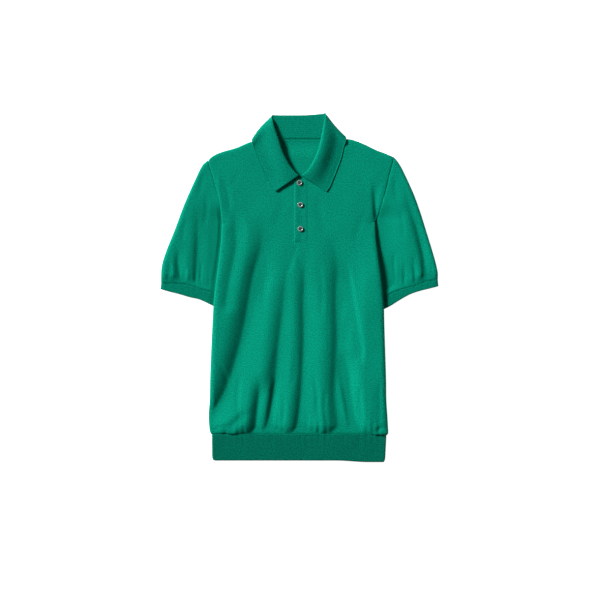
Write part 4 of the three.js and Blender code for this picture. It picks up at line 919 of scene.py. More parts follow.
def hem_sheet(grid):
    """The ribbed hem, all round the shirt."""
    down = np.linspace(0, 1, steps_for(56, grid) + 1)[:, None]
    y = mix(HEM_SEAM_Y, HEM_BOTTOM_Y, down)
    left, right = lookup(HEM_EDGE, "y", "left", y), lookup(HEM_EDGE, "y", "right", y)
    floor = SOLID_RIB_WALL / 2
    steps = steps_for(370, grid)
    top_x = mix(left + 3, right - 3, np.linspace(0, 1, steps + 1))
    low_x = mix(right - 3, left + 3, np.linspace(0, 1, steps // 3 + 1))
    slack = HEM_SLACK["drop"] * ease((top_x - HEM_SLACK["start"]) / HEM_SLACK["growth"])
    gathers = sum(
        deep * bump(top_x - at, half_width) for at, deep, half_width, _ in zip(*FRONT_GATHERS.values())
    )
    drawn = 0.3 * gathers * (1 - down) ** 2 + 0.5 * np.exp(-((down / 0.05) ** 2))
    top_z = HEM_TOP - drawn + 0.9 * soft_waves(top_x, y)

    def at_end(x, z):
        drop = HEM_SLACK["drop"] * ease((x - HEM_SLACK["start"]) / HEM_SLACK["growth"])
        return np.stack([x, y - down * drop, z + 0 * x], axis=-1)

    middle = mix(floor, HEM_TOP, 0.5)
    half = SOLID_RIB_WALL / 2
    y = np.where(down == 0, y + RIB_UNDER_SEAM, y)
    points = np.concatenate([
        at_end(left + half + 0.5, mix(floor, HEM_TOP, 0.15)),
        at_end(left + half, middle),
        at_end(left + half + 0.5, mix(floor, HEM_TOP, 0.85)),
        np.stack([top_x, y - down * slack, top_z], axis=-1),
        at_end(right - half - 0.5, mix(floor, HEM_TOP, 0.85)),
        at_end(right - half, middle),
        at_end(right - half - 0.5, mix(floor, HEM_TOP, 0.15)),
        np.stack([
            low_x,
            y - down * HEM_SLACK["drop"] * ease((low_x - HEM_SLACK["start"]) / HEM_SLACK["growth"]),
            floor + 0 * low_x,
        ], axis=-1),
    ], axis=1)
    around = np.where(points[..., 2] > middle, points[..., 0], 2 * right - points[..., 0])
    return tube_sheet(points, around, y, True)


def collar_sections():
    """The collar's section at each station: up the stand, over the fold and down the leaf."""
    neck, fold_line, edge = (
        np.stack([COLLAR[f"{part}_{axis}"] for axis in "xyz"], axis=-1) for part in ("neck", "fold", "edge")
    )
    count = len(neck)
    number = np.arange(count)
    tip = LEAF_TIP_LIFT["left"] * np.clip(1 - number / 2, 0, 1)
    tip += LEAF_TIP_LIFT["right"] * np.clip(1 - (count - 1 - number) / 2, 0, 1)
    laid = front_surface(edge[:, 0], edge[:, 1]) + LEAF_OVER_FRONT + tip
    edge[:, 2] = np.where(edge[:, 2] == 0, laid, edge[:, 2])
    lift, bow = COLLAR["lift"], COLLAR["bow"] * np.where(neck[:, 0] < 0, -1, 1)
    reach = np.maximum(1.1, np.abs(lift))[:, None]

    def plan_way(towards):
        way = (towards - fold_line) * (1, 1, 0)
        return way / np.linalg.norm(way, axis=1, keepdims=True)

    outward = plan_way(edge)
    stand_end = fold_line + plan_way(neck) * reach
    leaf_start = fold_line + outward * reach
    stand_end[:, 2] -= lift
    leaf_start[:, 2] += lift
    points = [neck, mix(neck, stand_end, 0.5), stand_end, fold_line, leaf_start]
    for t, fallen in LEAF_FALL:
        swell = math.sin(math.pi * t)
        point = mix(leaf_start, edge, t)
        point[:, 0] -= outward[:, 1] * bow * swell
        point[:, 1] += outward[:, 0] * bow * swell
        fall = (leaf_start[:, 2] - edge[:, 2]) * (t - fallen)
        point[:, 2] += fall * np.clip(lift / 2, 0, 1)
        points.append(point)
    points.append(edge)
    return np.stack(points, axis=1)


def collar_sheet(station_steps, section_steps):
    """The folded collar, from its left front end round the back of the neck to its right one."""
    sections = curve_through(collar_sections(), station_steps)
    points = curve_through(sections.transpose(1, 0, 2), section_steps).transpose(1, 0, 2)
    lengths = np.linalg.norm(np.diff(points, axis=1), axis=2)
    down = np.concatenate([np.zeros((len(points), 1)), np.cumsum(lengths, axis=1)], axis=1)
    fold_column = 3 * section_steps
    gaps = np.linalg.norm(np.diff(points[:, fold_column], axis=0), axis=1)
    around = np.concatenate([[0], np.cumsum(gaps)])[:, None]
    sheet = Sheet()
    sheet.rows(points, np.stack([np.broadcast_to(around, down.shape), down], axis=-1))
    return sheet


def band_sheet(lift, left, right, bottom, grid, stitched):
    """A strip of the placket, raised a little off the front or laid beneath it."""
    x = np.linspace(left, right, steps_for(right - left, grid / 1.6) + 1)
    y = np.linspace(bottom, BAND_TOP_Y, steps_for(BAND_TOP_Y - bottom, grid) + 1)
    x, y = np.meshgrid(x, y)
    height = front_surface(x, y) + lift
    if stitched:
        height = band_height(x, y)
    sheet = Sheet()
    sheet.rows(np.stack([x, y, height], axis=-1))
    return sheet


STITCH_INSET = 2.2
BAND_EDGE = {"lift": 1.15, "reach": 17}
BAND_UNDER_FRONT = 0.9


def band_height(x, y):
    """The top band's middle surface: its left edge raised, the others level with the front."""
    raised = BAND_EDGE["lift"] * (1 - ease((x - SLOT["left"]) / BAND_EDGE["reach"]))
    level = ease((SLOT["right"] + BAND_UNDER_FRONT - x) / 7) * ease((y - SLOT["bottom"] + BAND_UNDER_FRONT) / 7)
    groove = 0.16 * np.exp(-(((x - SLOT["left"] - STITCH_INSET) / 0.7) ** 2))
    return front_surface(x, y) - 0.12 + (BAND_LIFT + 0.12 + raised - groove) * level


def tube(points, radius, sides=8):
    """Rings of points round a path, in rows."""
    points = np.asarray(points, float)
    ways = np.gradient(points, axis=0)
    ways /= np.linalg.norm(ways, axis=1, keepdims=True)
    up = np.array([0, 0, 1.0])
    side_ways = np.cross(ways, up)
    side_ways /= np.maximum(np.linalg.norm(side_ways, axis=1, keepdims=True), 1e-9)
    tops = np.cross(side_ways, ways)
    angles = np.arange(sides) * 2 * math.pi / sides
    radii = np.broadcast_to(radius, len(points))[:, None, None]
    ring = (
        side_ways[:, None] * np.cos(angles)[None, :, None]
        + tops[:, None] * np.sin(angles)[None, :, None]
    )
    return points[:, None] + ring * radii


class Threads:
    """Closed tubes gathered into one mesh."""

    def __init__(self):
        self.points = []
        self.faces = []
        self.count = 0

    def add(self, path, radius, sides=6):
        """A tube along a path, closed at both ends."""
        rings = tube(path, radius, sides)
        numbers = self.count + np.arange(rings.shape[0] * sides).reshape(-1, sides)
        closed = np.hstack([numbers, numbers[:, :1]])
        low, high = closed[:-1], closed[1:]
        squares = np.stack([low[:, :-1], low[:, 1:], high[:, 1:], high[:, :-1]], axis=-1)
        self.faces.extend(squares.reshape(-1, 4).tolist())
        self.faces.append(numbers[0][::-1].tolist())
        self.faces.append(numbers[-1].tolist())
        self.points.append(rings.reshape(-1, 3))
        self.count += numbers.size

    def stitches(self, path, length, gap, radius):
        """A row of stitches along a path, each sunk into the cloth at both ends."""
        path = np.asarray(path, float)
        at = np.concatenate([[0], np.cumsum(np.linalg.norm(np.diff(path, axis=0), axis=1))])
        shares = np.linspace(0, 1, 6)
        arch = np.sin(math.pi * shares)
        for start in np.arange(0.5, at[-1] - length, length + gap):
            places = start + length * shares
            stitch = np.stack([np.interp(places, at, path[:, k]) for k in range(3)], axis=-1)
            stitch[:, 2] += radius * (1.5 * arch - 1)
            self.add(stitch, radius * (0.55 + 0.45 * arch))

    def piece(self, name, finish, slot):
        """The threads as one piece of the shirt."""
        points = np.concatenate(self.points)
        return add_piece(name, points, points[:, :2], self.faces, finish)


class Value:
    """An output of a node. Arithmetic on it adds Math nodes."""

    def __init__(self, finish, socket):
        self.finish = finish
        self.socket = socket

    def maths(self, operation, *operands):
        """A Math node on this value and others."""
        inputs = dict(enumerate(operands))
        return self.finish.node("ShaderNodeMath", {"operation": operation}, inputs)["Value"]

    def __add__(self, other):
        return self.maths("ADD", self, other)

    __radd__ = __add__

    def __sub__(self, other):
        return self.maths("SUBTRACT", self, other)

    def __rsub__(self, other):
        return self.maths("SUBTRACT", other, self)

    def __mul__(self, other):
        return self.maths("MULTIPLY", self, other)

    __rmul__ = __mul__

    def __truediv__(self, other):
        return self.maths("DIVIDE", self, other)

    def __rtruediv__(self, other):
        return self.maths("DIVIDE", other, self)

    def __abs__(self):
        return self.maths("ABSOLUTE", self)

    def fraction(self):
        """What is left over after whole numbers."""
        return self.maths("FRACT", self)

    def cosine(self):
        return self.maths("COSINE", self)


class Finish:
    """A material made of nodes round one Principled shader."""

    def __init__(self, name):
        self.material = bpy.data.materials.new(name)
        self.material.use_nodes = True
        self.tree = self.material.node_tree
        self.tree.nodes.clear()

    def node(self, kind, settings=None, inputs=None):
        """Add a node: its settings first, then the values or links of its sockets. Returns its outputs."""
        made = self.tree.nodes.new(kind)
        for key, value in (settings or {}).items():
            if key == "stops":
                ramp = made.color_ramp.elements
                for _ in value[2:]:
                    ramp.new(0.5)
                for stop, (place, colour) in zip(ramp, value):
                    stop.position = place
                    stop.color = colour
            else:
                setattr(made, key, value)
        for key, value in (inputs or {}).items():
            if isinstance(key, int):
                socket = made.inputs[key]
            else:
                socket = next(s for s in made.inputs if s.enabled and s.name == key)
            if isinstance(value, Value):
                self.tree.links.new(value.socket, socket)
            else:
                socket.default_value = value
        return {s.name: Value(self, s) for s in made.outputs if s.enabled}

    def knit_place(self):
        """The place in the knitting: the whole vector, across it and along it, in millimetres."""
        place = self.node("ShaderNodeAttribute", {"attribute_name": "knit"})["Vector"]
        parts = self.node("ShaderNodeSeparateXYZ", {}, {"Vector": place})
        return place, parts["X"], parts["Y"]

    def noise(self, place, scale, detail=2.0):
        """Noise from 0 to 1 with about that many lumps to the millimetre."""
        inputs = {"Vector": place, "Scale": scale, "Detail": detail}
        return self.node("ShaderNodeTexNoise", {"noise_dimensions": "3D"}, inputs)["Fac"]

    def blend(self, factor, low, high):
        """A colour between two others."""
        inputs = {"Factor": factor, "A": low, "B": high}
        return self.node("ShaderNodeMix", {"data_type": "RGBA"}, inputs)["Result"]

    def relief(self, height, depth):
        """A normal from a height between 0 and 1, for that depth in metres."""
        return self.node("ShaderNodeBump", {}, {"Strength": 1.0, "Distance": depth, "Height": height})["Normal"]

    def finished(self, **inputs):
        """Close the material with its shader."""
        sockets = {name.replace("_", " "): value for name, value in inputs.items()}
        sockets = {SOCKET_NAMES.get(name, name): value for name, value in sockets.items()}
        shader = self.node("ShaderNodeBsdfPrincipled", {}, sockets)["BSDF"]
        self.node("ShaderNodeOutputMaterial", {}, {"Surface": shader})
        return self.material


SOCKET_NAMES = {"Specular": "Specular IOR Level"}
SPECULAR_TINT = (0.05, 1, 0.75, 1)


def darker(colour, share):
    """A colour with a share of its light."""
    return (*(channel * share for channel in colour[:3]), 1)


def stitch_height(across, along, wale, course):
    """Height of plain knitting: columns of V-shaped stitches, from 0 to 1."""
    leg = abs((across / wale).fraction() - 0.5) * 2
    rounded = 1 - (2 * leg - 1) * (2 * leg - 1)
    lean = along / course - leg * 0.8
    loops = (lean * (2 * math.pi)).cosine() * 0.5 + 0.5
    return rounded * (loops * 0.5 + 0.5)


# Spacing, in millimetres, of the painted shade lines along the collar's ribs.
COLLAR_LINES = 4.4


def jersey_finish(name, colour, wale, course, relief):
    """Fine plain knitting with a soft speckle of its stitches."""
    finish = Finish(name)
    place, across, along = finish.knit_place()
    stitches = stitch_height(across, along, wale / MM, course / MM)
    speckle = finish.noise(place, 0.45, 3.0)
    cloud = finish.noise(place, 0.02, 2.0)
    # Painted shade: the tone is darker where the stitches are low, between them; the speckle and the clouds are
    # the yarn's own uneven tone.
    tone = stitches * 0.2 + (speckle - 0.5) * 3.2 + 0.4 + cloud * 0.15
    shade = finish.blend(tone, darker(colour, 0.6), darker(colour, 1.38))
    height = stitches * 0.75 + speckle * 0.5
    return finish.finished(
        Base_Color=shade, Roughness=0.9 - speckle * 0.08, Specular=0.18,
        Normal=finish.relief(height, relief), Sheen_Weight=0.12, Sheen_Roughness=0.5,
        Sheen_Tint=darker(colour, 2.5), Specular_Tint=SPECULAR_TINT,
    )


def rib_finish(name, colour, pitch, course, relief, along_edge=False):
    """Ribbed knitting. The ribs run down the cloth, or along its edge on the collar."""
    finish = Finish(name)
    place, across, along = finish.knit_place()
    if along_edge:
        across, along = along, across
    ribs = (across * (2 * math.pi / (pitch / MM))).cosine() * 0.5 + 0.5
    stitches = stitch_height(across, along, pitch / MM / 2, course / MM)
    speckle = finish.noise(place, 0.45, 3.0)
    # Painted shade: the tone is darker in the rib valleys and between the stitches; the speckle is the yarn's
    # own uneven tone.
    tone = ribs * 0.16 + stitches * 0.08 + (speckle - 0.5) * 3.2 + 0.4
    # Painted shade: on the collar, dark lines parallel to its edge for the shade of its ribs.
    if along_edge:
        tone = tone + (across * (2 * math.pi / COLLAR_LINES)).cosine() * 0.1
    shade = finish.blend(tone, darker(colour, 0.55), darker(colour, 1.42))
    height = ribs * 0.7 + stitches * 0.3 + speckle * 0.2
    return finish.finished(
        Base_Color=shade, Roughness=0.92 - speckle * 0.08, Specular=0.15,
        Normal=finish.relief(height, relief), Sheen_Weight=0.1, Sheen_Roughness=0.5,
        Sheen_Tint=darker(colour, 2.5), Specular_Tint=SPECULAR_TINT,
    )


def thread_finish(name, colour):
    """Twisted sewing thread."""
    finish = Finish(name)
    place, across, along = finish.knit_place()
    twist = ((across + along) * 9).cosine() * 0.5 + 0.5
    # Painted shade: the colour is darker in the grooves of the twist.
    shade = finish.blend(twist, darker(colour, 0.75), darker(colour, 1.15))
    return finish.finished(
        Base_Color=shade, Roughness=0.7, Specular=0.3, Normal=finish.relief(twist, 0.00005),
        Sheen_Weight=0.1,
    )


def pearl_finish(name, colour):
    """Grey shell with pale clouds and a polished face; painted shade darkens its dished middle and painted light
    brightens its raised rim.
    """
    finish = Finish(name)
    place = finish.node("ShaderNodeAttribute", {"attribute_name": "knit"})["Vector"]
    outward = finish.node("ShaderNodeSeparateXYZ", {}, {"Vector": place})["Z"]
    cloud = finish.noise(place, 0.35, 3.0)
    streaks = finish.noise(place, 1.4, 2.0)
    # Painted shade and painted light: by the distance from the button's middle, the colour runs from dark in the
    # dish to light on the raised rim.
    tone = outward * 0.8 + (cloud - 0.5) * 0.35 + (streaks - 0.5) * 0.15
    stops = [(0.3, darker(colour, 0.3)), (0.48, darker(colour, 0.4)), (0.62, darker(colour, 1.3))]
    shade = finish.node("ShaderNodeValToRGB", {"stops": stops}, {"Fac": tone})["Color"]
    return finish.finished(
        Base_Color=shade, Roughness=0.22 + streaks * 0.12, Specular=0.55,
        Normal=finish.relief(cloud, 0.00004), Coat_Weight=0.5, Coat_Roughness=0.12,
    )


def millimetres(name, description, default):
    """A length that a user can change, in metres, given here in millimetres."""
    return bpy.props.FloatProperty(
        name=name, description=description, default=default * MM, min=0.0, unit="LENGTH", precision=5,
    )


def tint(name, description, default):
    """A colour that a user can change."""
    return bpy.props.FloatVectorProperty(
        name=name, description=description, default=default, subtype="COLOR", min=0.0, max=1.0,
    )


class ShirtSizes(bpy.types.PropertyGroup):
    """Sizes of the cloth and its sewing."""

    grid: millimetres("Mesh grid", "Distance between the points of the cloth's mesh", 2.6)
    cloth: millimetres("Cloth", "Thickness of the plain knitting", 1.3)
    rib: millimetres("Rib", "Thickness of the ribbed cuffs and hem", 1.6)
    collar: millimetres("Collar", "Thickness of the collar's cloth", 1.25)
    wale: millimetres("Wale", "Width of one column of stitches", 0.9)
    course: millimetres("Course", "Height of one row of stitches", 0.7)
    rib_pitch: millimetres("Rib pitch", "Distance from one rib to the next", 1.7)
    stitch: millimetres("Stitch", "Length of one sewn stitch", 2.6)
    stitch_gap: millimetres("Stitch gap", "Gap between two sewn stitches", 0.7)
    thread: millimetres("Thread", "Radius of the sewing thread", 0.22)
    seam: millimetres("Seam", "Radius of the rolled cloth in a seam", 0.8)
    button: millimetres("Button", "Radius of a button", 5.7)
    button_height: millimetres("Button height", "Height of a button", 2.5)
    button_hole: millimetres("Button hole", "Radius of a button's holes", 0.75)


class ShirtColours(bpy.types.PropertyGroup):
    """Colours of the shirt."""

    jersey: tint("Jersey", "Colour of the plain knitting", (0.0006, 0.24, 0.15))
    # Painted shade: the hem's colour is darker than the jersey's, standing in for the shade in its rib valleys
    # and on its slope away from the light.
    rib: tint("Rib", "Colour of the hem", (0.0006, 0.14, 0.088))
    # Painted shade and painted light: the cuffs' colour is darker than the jersey's for the shade in their rib
    # valleys, and lighter than the hem's as though their slope faced the light.
    cuff: tint("Cuff", "Colour of the cuffs", (0.0006, 0.2, 0.126))
    collar: tint("Collar", "Colour of the collar", (0.0006, 0.22, 0.14))
    thread: tint("Thread", "Colour of the sewing thread", (0.001, 0.17, 0.105))
    button: tint("Button", "Colour of the buttons", (0.21, 0.25, 0.24))
    floor: tint("Floor", "Colour of the surface that the shirt lies on", (0.88, 0.88, 0.88))


class StudioSettings(bpy.types.PropertyGroup):
    """Lights and camera."""

    key_height: bpy.props.FloatProperty(
        name="Key height", description="Height of the key light above the horizon",
        default=math.radians(27), subtype="ANGLE",
    )
    key_side: bpy.props.FloatProperty(
        name="Key side", description="Direction that the key light comes from, left of straight up",
        default=math.radians(55), subtype="ANGLE",
    )
    key_softness: bpy.props.FloatProperty(
        name="Key softness", description="Angle that the key light fills, seen from the shirt",
        default=math.radians(14), subtype="ANGLE",
    )
    key_strength: bpy.props.FloatProperty(
        name="Key strength", description="Strength of the key light", default=6.1, min=0.0,
    )
    fill_strength: bpy.props.FloatProperty(
        name="Fill strength", description="Strength of the light from all round", default=0.1, min=0.0,
    )
    camera_distance: bpy.props.FloatProperty(
        name="Camera distance", description="Height of the camera above the shirt", default=3.05,
        unit="LENGTH",
    )


FINISHES = {}


def finish_for(name, context):
    """One of the shirt's materials, made when it is first needed."""
    if name not in FINISHES:
        sizes, colours = context.scene.shirt_sizes, context.scene.shirt_colours
        makers = {
            "jersey": lambda: jersey_finish("plain_knitting", colours.jersey, sizes.wale, sizes.course, 0.00009),
            # The hem and the cuffs get their own darker rib colours: painted shade.
            "rib": lambda: rib_finish("hem_rib_painted_shade", colours.rib, sizes.rib_pitch, sizes.course, 0.00022),
            "cuff": lambda: rib_finish("cuff_rib_painted_shade", colours.cuff, sizes.rib_pitch, sizes.course, 0.00022),
            "collar": lambda: rib_finish(
                "collar_knitting", colours.collar, sizes.rib_pitch, sizes.wale, 0.00016, True
            ),
            "thread": lambda: thread_finish("sewing_thread", colours.thread),
            "pearl": lambda: pearl_finish("grey_shell", colours.button),
        }
        FINISHES[name] = makers[name]()
    return FINISHES[name]


class SHIRT_OT_front(bpy.types.Operator):
    """Build the front, with its folds, gathers and turned-under sides"""

    bl_idname = "shirt.front"
    bl_label = "Front"

    def execute(self, context):
        sizes = context.scene.shirt_sizes
        piece = add_sheet(
            "front_panel", front_sheet(sizes.grid), sizes.cloth, finish_for("jersey", context), ["front"]
        )
        return {"FINISHED"}


class SHIRT_OT_back(bpy.types.Operator):
    """Build the back, flat under the front"""

    bl_idname = "shirt.back"
    bl_label = "Back"

    def execute(self, context):
        sizes = context.scene.shirt_sizes
        piece = add_sheet(
            "back_panel", back_sheet(sizes.grid * 1.4), sizes.cloth, finish_for("jersey", context), ["back"]
        )
        return {"FINISHED"}


class SHIRT_OT_sleeves(bpy.types.Operator):
    """Build both short sleeves"""

    bl_idname = "shirt.sleeves"
    bl_label = "Sleeves"

    def execute(self, context):
        sizes = context.scene.shirt_sizes
        for side in SLEEVES:
            piece = add_sheet(
                f"{side}_sleeve", sleeve_sheet(side, sizes.grid), sizes.cloth,
                finish_for("jersey", context), [f"sleeve_{side}"],
            )
        return {"FINISHED"}


class SHIRT_OT_ribs(bpy.types.Operator):
    """Build the ribbed cuffs and the ribbed hem"""

    bl_idname = "shirt.ribs"
    bl_label = "Ribs"

    def execute(self, context):
        sizes = context.scene.shirt_sizes
        finish = finish_for("rib", context)
        for side in SLEEVES:
            piece = add_sheet(
                f"{side}_cuff", cuff_sheet(side, sizes.grid), sizes.rib, finish_for("cuff", context),
                [f"cuff_{side}"],
            )
        piece = add_sheet("hem", hem_sheet(sizes.grid), sizes.rib, finish, ["hem_rib"])
        return {"FINISHED"}


class SHIRT_OT_collar(bpy.types.Operator):
    """Build the folded collar"""

    bl_idname = "shirt.collar"
    bl_label = "Collar"

    def execute(self, context):
        sizes = context.scene.shirt_sizes
        piece = add_sheet(
            "folded_collar", collar_sheet(6, 6), sizes.collar, finish_for("collar", context), ["collar"]
        )
        return {"FINISHED"}


class SHIRT_OT_placket(bpy.types.Operator):
    """Build the two bands of the button placket"""

    bl_idname = "shirt.placket"
    bl_label = "Placket"

    def execute(self, context):
        sizes = context.scene.shirt_sizes
        finish = finish_for("jersey", context)
        left, right, bottom = SLOT["left"], SLOT["right"], SLOT["bottom"]
        top = add_sheet(
            "top_band",
            band_sheet(
                BAND_LIFT, left - 0.2, right + BAND_UNDER_FRONT, bottom - BAND_UNDER_FRONT, sizes.grid, True
            ),
            sizes.cloth, finish, ["placket_top"],
        )
        under = add_sheet(
            "under_band",
            band_sheet(BAND_LIFT - SOLID_WALL - LAYER_GAP, left + 2, right - 1, bottom + 2, sizes.grid, False),
            sizes.cloth, finish, ["placket_under"],
        )
        return {"FINISHED"}


def button_blank(radius, height):
    """A turned button with a raised rim and a dished face, before its holes."""
    r, h = radius, height
    profile = [
        (0, 0), (r * 0.5, 0), (r - 1, 0), (r - 0.4, 0.25), (r - 0.08, 0.6), (r, 1.1), (r, h - 0.9),
        (r - 0.15, h - 0.4), (r - 0.5, h - 0.08), (r - 0.9, h), (r - 1.35, h - 0.1), (r - 1.8, h - 0.45),
        (r - 2.3, h - 0.68), (r - 2.9, h - 0.75), (r * 0.25, h - 0.72), (0, h - 0.7),
    ]
    made = bmesh.new()
    rim = [made.verts.new((x, 0, z)) for x, z in profile]
    edges = [made.edges.new(pair) for pair in zip(rim, rim[1:])]
    bmesh.ops.spin(
        made, geom=rim + edges, axis=(0, 0, 1), cent=(0, 0, 0), angle=2 * math.pi, steps=56, use_merge=True,
    )
    bmesh.ops.remove_doubles(made, verts=made.verts, dist=1e-4)
    bmesh.ops.recalc_face_normals(made, faces=made.faces)
    mesh = bpy.data.meshes.new("button_blank")
    made.to_mesh(mesh)
    made.free()
    return mesh


def drilled(blank, radius, offset, height):
    """The blank with four holes through it."""
    made = bmesh.new()
    for x, y in ((1, 1), (-1, 1), (-1, -1), (1, -1)):
        bmesh.ops.create_cone(
            made, cap_ends=True, segments=20, radius1=radius, radius2=radius, depth=height * 3,
            matrix=Matrix.Translation((x * offset, y * offset, 0)),
        )
    drill_mesh = bpy.data.meshes.new("button_drill")
    made.to_mesh(drill_mesh)
    made.free()
    objects = [bpy.data.objects.new(mesh.name, mesh) for mesh in (blank, drill_mesh)]
    for part in objects:
        bpy.context.scene.collection.objects.link(part)
    cut = objects[0].modifiers.new("holes", "BOOLEAN")
    cut.operation = "DIFFERENCE"
    cut.solver = "EXACT"
    cut.object = objects[1]
    result = bpy.data.meshes.new_from_object(objects[0].evaluated_get(bpy.context.evaluated_depsgraph_get()))
    for part in objects:
        bpy.data.objects.remove(part)
    return result


BUTTON_HOLE_OFFSET = 1.35
BUTTON_SEAT = 0.3


class SHIRT_OT_buttons(bpy.types.Operator):
    """Build the three buttons, each sewn on through four holes"""

    bl_idname = "shirt.buttons"
    bl_label = "Buttons"

    def execute(self, context):
        sizes = context.scene.shirt_sizes
        radius, height = sizes.button / MM, sizes.button_height / MM
        mesh = drilled(button_blank(radius, height), sizes.button_hole / MM, BUTTON_HOLE_OFFSET, height)
        points = np.array([v.co for v in mesh.vertices])
        faces = [list(polygon.vertices) for polygon in mesh.polygons]
        threads = Threads()
        for number, (name, (x, y)) in enumerate(BUTTONS.items(), 1):
            seat = float(front_height(np.array(x), np.array(y))) + BAND_LIFT + SOLID_WALL / 2 + BUTTON_SEAT
            place = np.array([x, y, seat])
            # The distance from the middle goes to the shell's finish, which uses it for painted shade in the
            # dish and painted light on the rim.
            from_middle = np.hypot(points[:, 0], points[:, 1]) / radius
            piece = add_piece(
                f"shell_button_{number}", points + place,
                np.column_stack([points[:, :2] + 40 * number, from_middle]), faces,
                finish_for("pearl", context), [name],
            )
            piece.data.set_sharp_from_angle(angle=math.radians(40))
            for side in (-1, 1):
                for shift in (-0.22, 0.22):
                    along_y = np.linspace(-BUTTON_HOLE_OFFSET, BUTTON_HOLE_OFFSET, 9)
                    rise = height - 0.5 + 0.35 * np.cos(along_y / BUTTON_HOLE_OFFSET * math.pi / 2)
                    rise[[0, -1]] = height - 1.6
                    across_x = np.full_like(along_y, side * BUTTON_HOLE_OFFSET + shift)
                    threads.add(np.stack([across_x, along_y, rise], axis=-1) + place, 0.24)
        threads.piece("button_threads", finish_for("thread", context), "jersey")
        return {"FINISHED"}


class SHIRT_OT_seams(bpy.types.Operator):
    """Build the rolled seams and the rows of stitches"""

    bl_idname = "shirt.seams"
    bl_label = "Seams"

    def execute(self, context):
        sizes = context.scene.shirt_sizes
        radius = sizes.seam / MM
        seams, stitches = Threads(), Threads()
        for side in SLEEVES:
            y = np.linspace(ARMPIT_Y + 4, TIP_Y[side] - 1, 70)
            x = armhole(side, y)
            over = np.clip((y - TIP_Y[side] + ROLL) / ROLL, 0, 1)
            z = mix(1.4, front_surface(x + INWARD[side] * 0.6, y) - 0.35, np.sqrt(1 - over**2))
            tip = ease((y - TIP_Y[side] + 9) / 9) * TIP_FILL[side]
            row = np.stack([x + INWARD[side] * tip * 2.6, y + tip * 1.2, z], axis=-1)
            seams.add(row, radius + tip * 0.9, 10)
        loops = Threads()
        for row in linking_rows(sizes.cloth / MM / 2):
            loops.stitches(row, sizes.stitch / MM, sizes.stitch_gap / MM / 2, LOOP_RADIUS)
        loops.piece("linking_loops", finish_for("jersey", context), "jersey")
        y = np.linspace(SLOT["bottom"] + 3, BAND_TOP_Y - 4, 60)
        for x in (SLOT["left"] + STITCH_INSET, SLOT["right"] - STITCH_INSET):
            row = np.stack([np.full_like(y, x), y, band_top(np.full_like(y, x), y, sizes)], axis=-1)
            stitches.stitches(row, sizes.stitch / MM, sizes.stitch_gap / MM, sizes.thread / MM)
        seams.piece("armhole_seams", finish_for("jersey", context), "jersey")
        stitches.piece("placket_stitches", finish_for("thread", context), "jersey")
        return {"FINISHED"}


LOOP_RADIUS = 0.55
TIP_FILL = {"left": 1.3, "right": 0.3}


def linking_rows(half_cloth):
    """The lines along which the cuffs and the hem are linked to the jersey."""
    x = np.linspace(-120, 150, 140)
    y = np.full_like(x, HEM_SEAM_Y)
    z = np.maximum(front_surface(x, y + 1), HEM_TOP) + half_cloth
    yield np.stack([x, y, z], axis=-1)
    for side, sleeve in SLEEVES.items():
        x, y = evenly_along(sleeve["cuff_top"])(np.linspace(0.03, 0.94, 80))
        beyond = sleeve["sign"] * (x - body_edge(side, y))
        z = mix(SOLID_RIB_WALL * 1.5, CUFF_TOP, ease(beyond / 12)) + half_cloth
        yield np.stack([x, y, z], axis=-1)


def band_top(x, y, sizes):
    """Height of the top band's upper face."""
    return band_height(x, y) + sizes.cloth / MM / 2


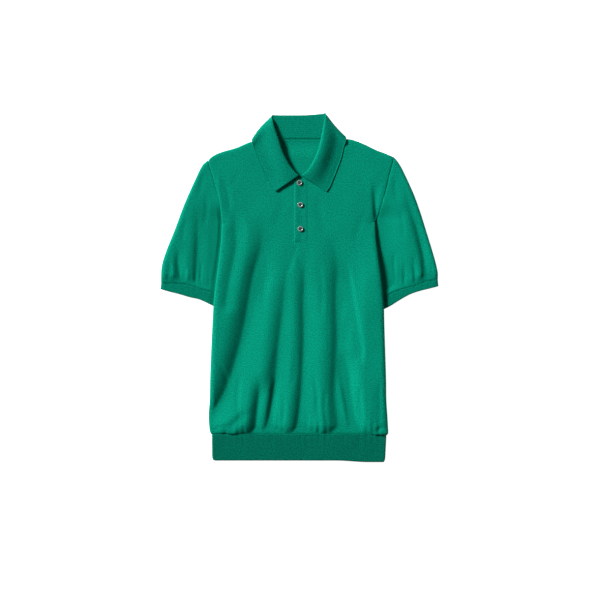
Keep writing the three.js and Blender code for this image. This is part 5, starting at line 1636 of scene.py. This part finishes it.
class SHIRT_OT_stage(bpy.types.Operator):
    """Build the surface the shirt lies on, the lights and the camera"""

    bl_idname = "shirt.stage"
    bl_label = "Stage"

    def execute(self, context):
        studio = context.scene.studio_settings
        scene = context.scene
        mesh = bpy.data.meshes.new("floor")
        half = 4.0
        corners = [(-half, -half, 0), (half, -half, 0), (half, half, 0), (-half, half, 0)]
        mesh.from_pydata(corners, [], [(0, 1, 2, 3)])
        floor = bpy.data.objects.new("floor", mesh)
        scene.collection.objects.link(floor)
        colour = context.scene.shirt_colours.floor
        finish = Finish("pale_floor")
        mesh.materials.append(finish.finished(
            Base_Color=(*colour, 1), Roughness=0.9, Specular=0.1,
            Emission_Color=(1, 1, 1, 1), Emission_Strength=0.93,
        ))

        sun = bpy.data.lights.new("key_light", "SUN")
        sun.energy = studio.key_strength
        sun.angle = studio.key_softness
        key = bpy.data.objects.new("key_light", sun)
        scene.collection.objects.link(key)
        flat = math.cos(studio.key_height)
        towards = Vector((
            -math.sin(studio.key_side) * flat, math.cos(studio.key_side) * flat, math.sin(studio.key_height)
        ))
        key.rotation_mode = "QUATERNION"
        key.rotation_quaternion = towards.to_track_quat("Z", "Y")

        world = bpy.data.worlds.new("studio")
        world.use_nodes = True
        background = world.node_tree.nodes["Background"]
        background.inputs["Color"].default_value = (1, 1, 1, 1)
        background.inputs["Strength"].default_value = studio.fill_strength
        scene.world = world

        lens = bpy.data.cameras.new("camera")
        lens.lens = 85
        lens.sensor_width = 36
        camera = bpy.data.objects.new("camera", lens)
        scene.collection.objects.link(camera)
        middle = (np.array(PICTURE_MIDDLE) + SHIFT[:2]) * MM
        camera.location = (middle[0], middle[1], studio.camera_distance)
        scene.camera = camera
        scene.view_settings.view_transform = "Standard"
        return {"FINISHED"}


PICTURE_MIDDLE = (2.15, -26.9)


class SHIRT_PT_panel(bpy.types.Panel):
    """The shirt's pieces, its sizes and its colours"""

    bl_label = "Polo shirt"
    bl_idname = "SHIRT_PT_panel"
    bl_space_type = "VIEW_3D"
    bl_region_type = "UI"
    bl_category = "Polo shirt"

    def draw(self, context):
        for group in (context.scene.shirt_sizes, context.scene.shirt_colours, context.scene.studio_settings):
            for name in group.__annotations__:
                self.layout.prop(group, name)
        for operator in OPERATORS:
            self.layout.operator(operator.bl_idname)


OPERATORS = (
    SHIRT_OT_back, SHIRT_OT_front, SHIRT_OT_sleeves, SHIRT_OT_ribs, SHIRT_OT_collar, SHIRT_OT_placket,
    SHIRT_OT_buttons, SHIRT_OT_seams, SHIRT_OT_stage,
)
GROUPS = {"shirt_sizes": ShirtSizes, "shirt_colours": ShirtColours, "studio_settings": StudioSettings}


def register():
    for group in GROUPS.values():
        bpy.utils.register_class(group)
    for cls in (*OPERATORS, SHIRT_PT_panel):
        bpy.utils.register_class(cls)
    for name, group in GROUPS.items():
        setattr(bpy.types.Scene, name, bpy.props.PointerProperty(type=group))


def unregister():
    for name in GROUPS:
        delattr(bpy.types.Scene, name)
    for cls in reversed((*GROUPS.values(), *OPERATORS, SHIRT_PT_panel)):
        bpy.utils.unregister_class(cls)


def main():
    register()
    bpy.ops.shirt.stage()
    bpy.ops.shirt.back()
    bpy.ops.shirt.front()
    bpy.ops.shirt.sleeves()
    bpy.ops.shirt.ribs()
    bpy.ops.shirt.collar()
    bpy.ops.shirt.placket()
    bpy.ops.shirt.buttons()
    bpy.ops.shirt.seams()
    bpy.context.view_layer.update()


if __name__ == "__main__":
    main()
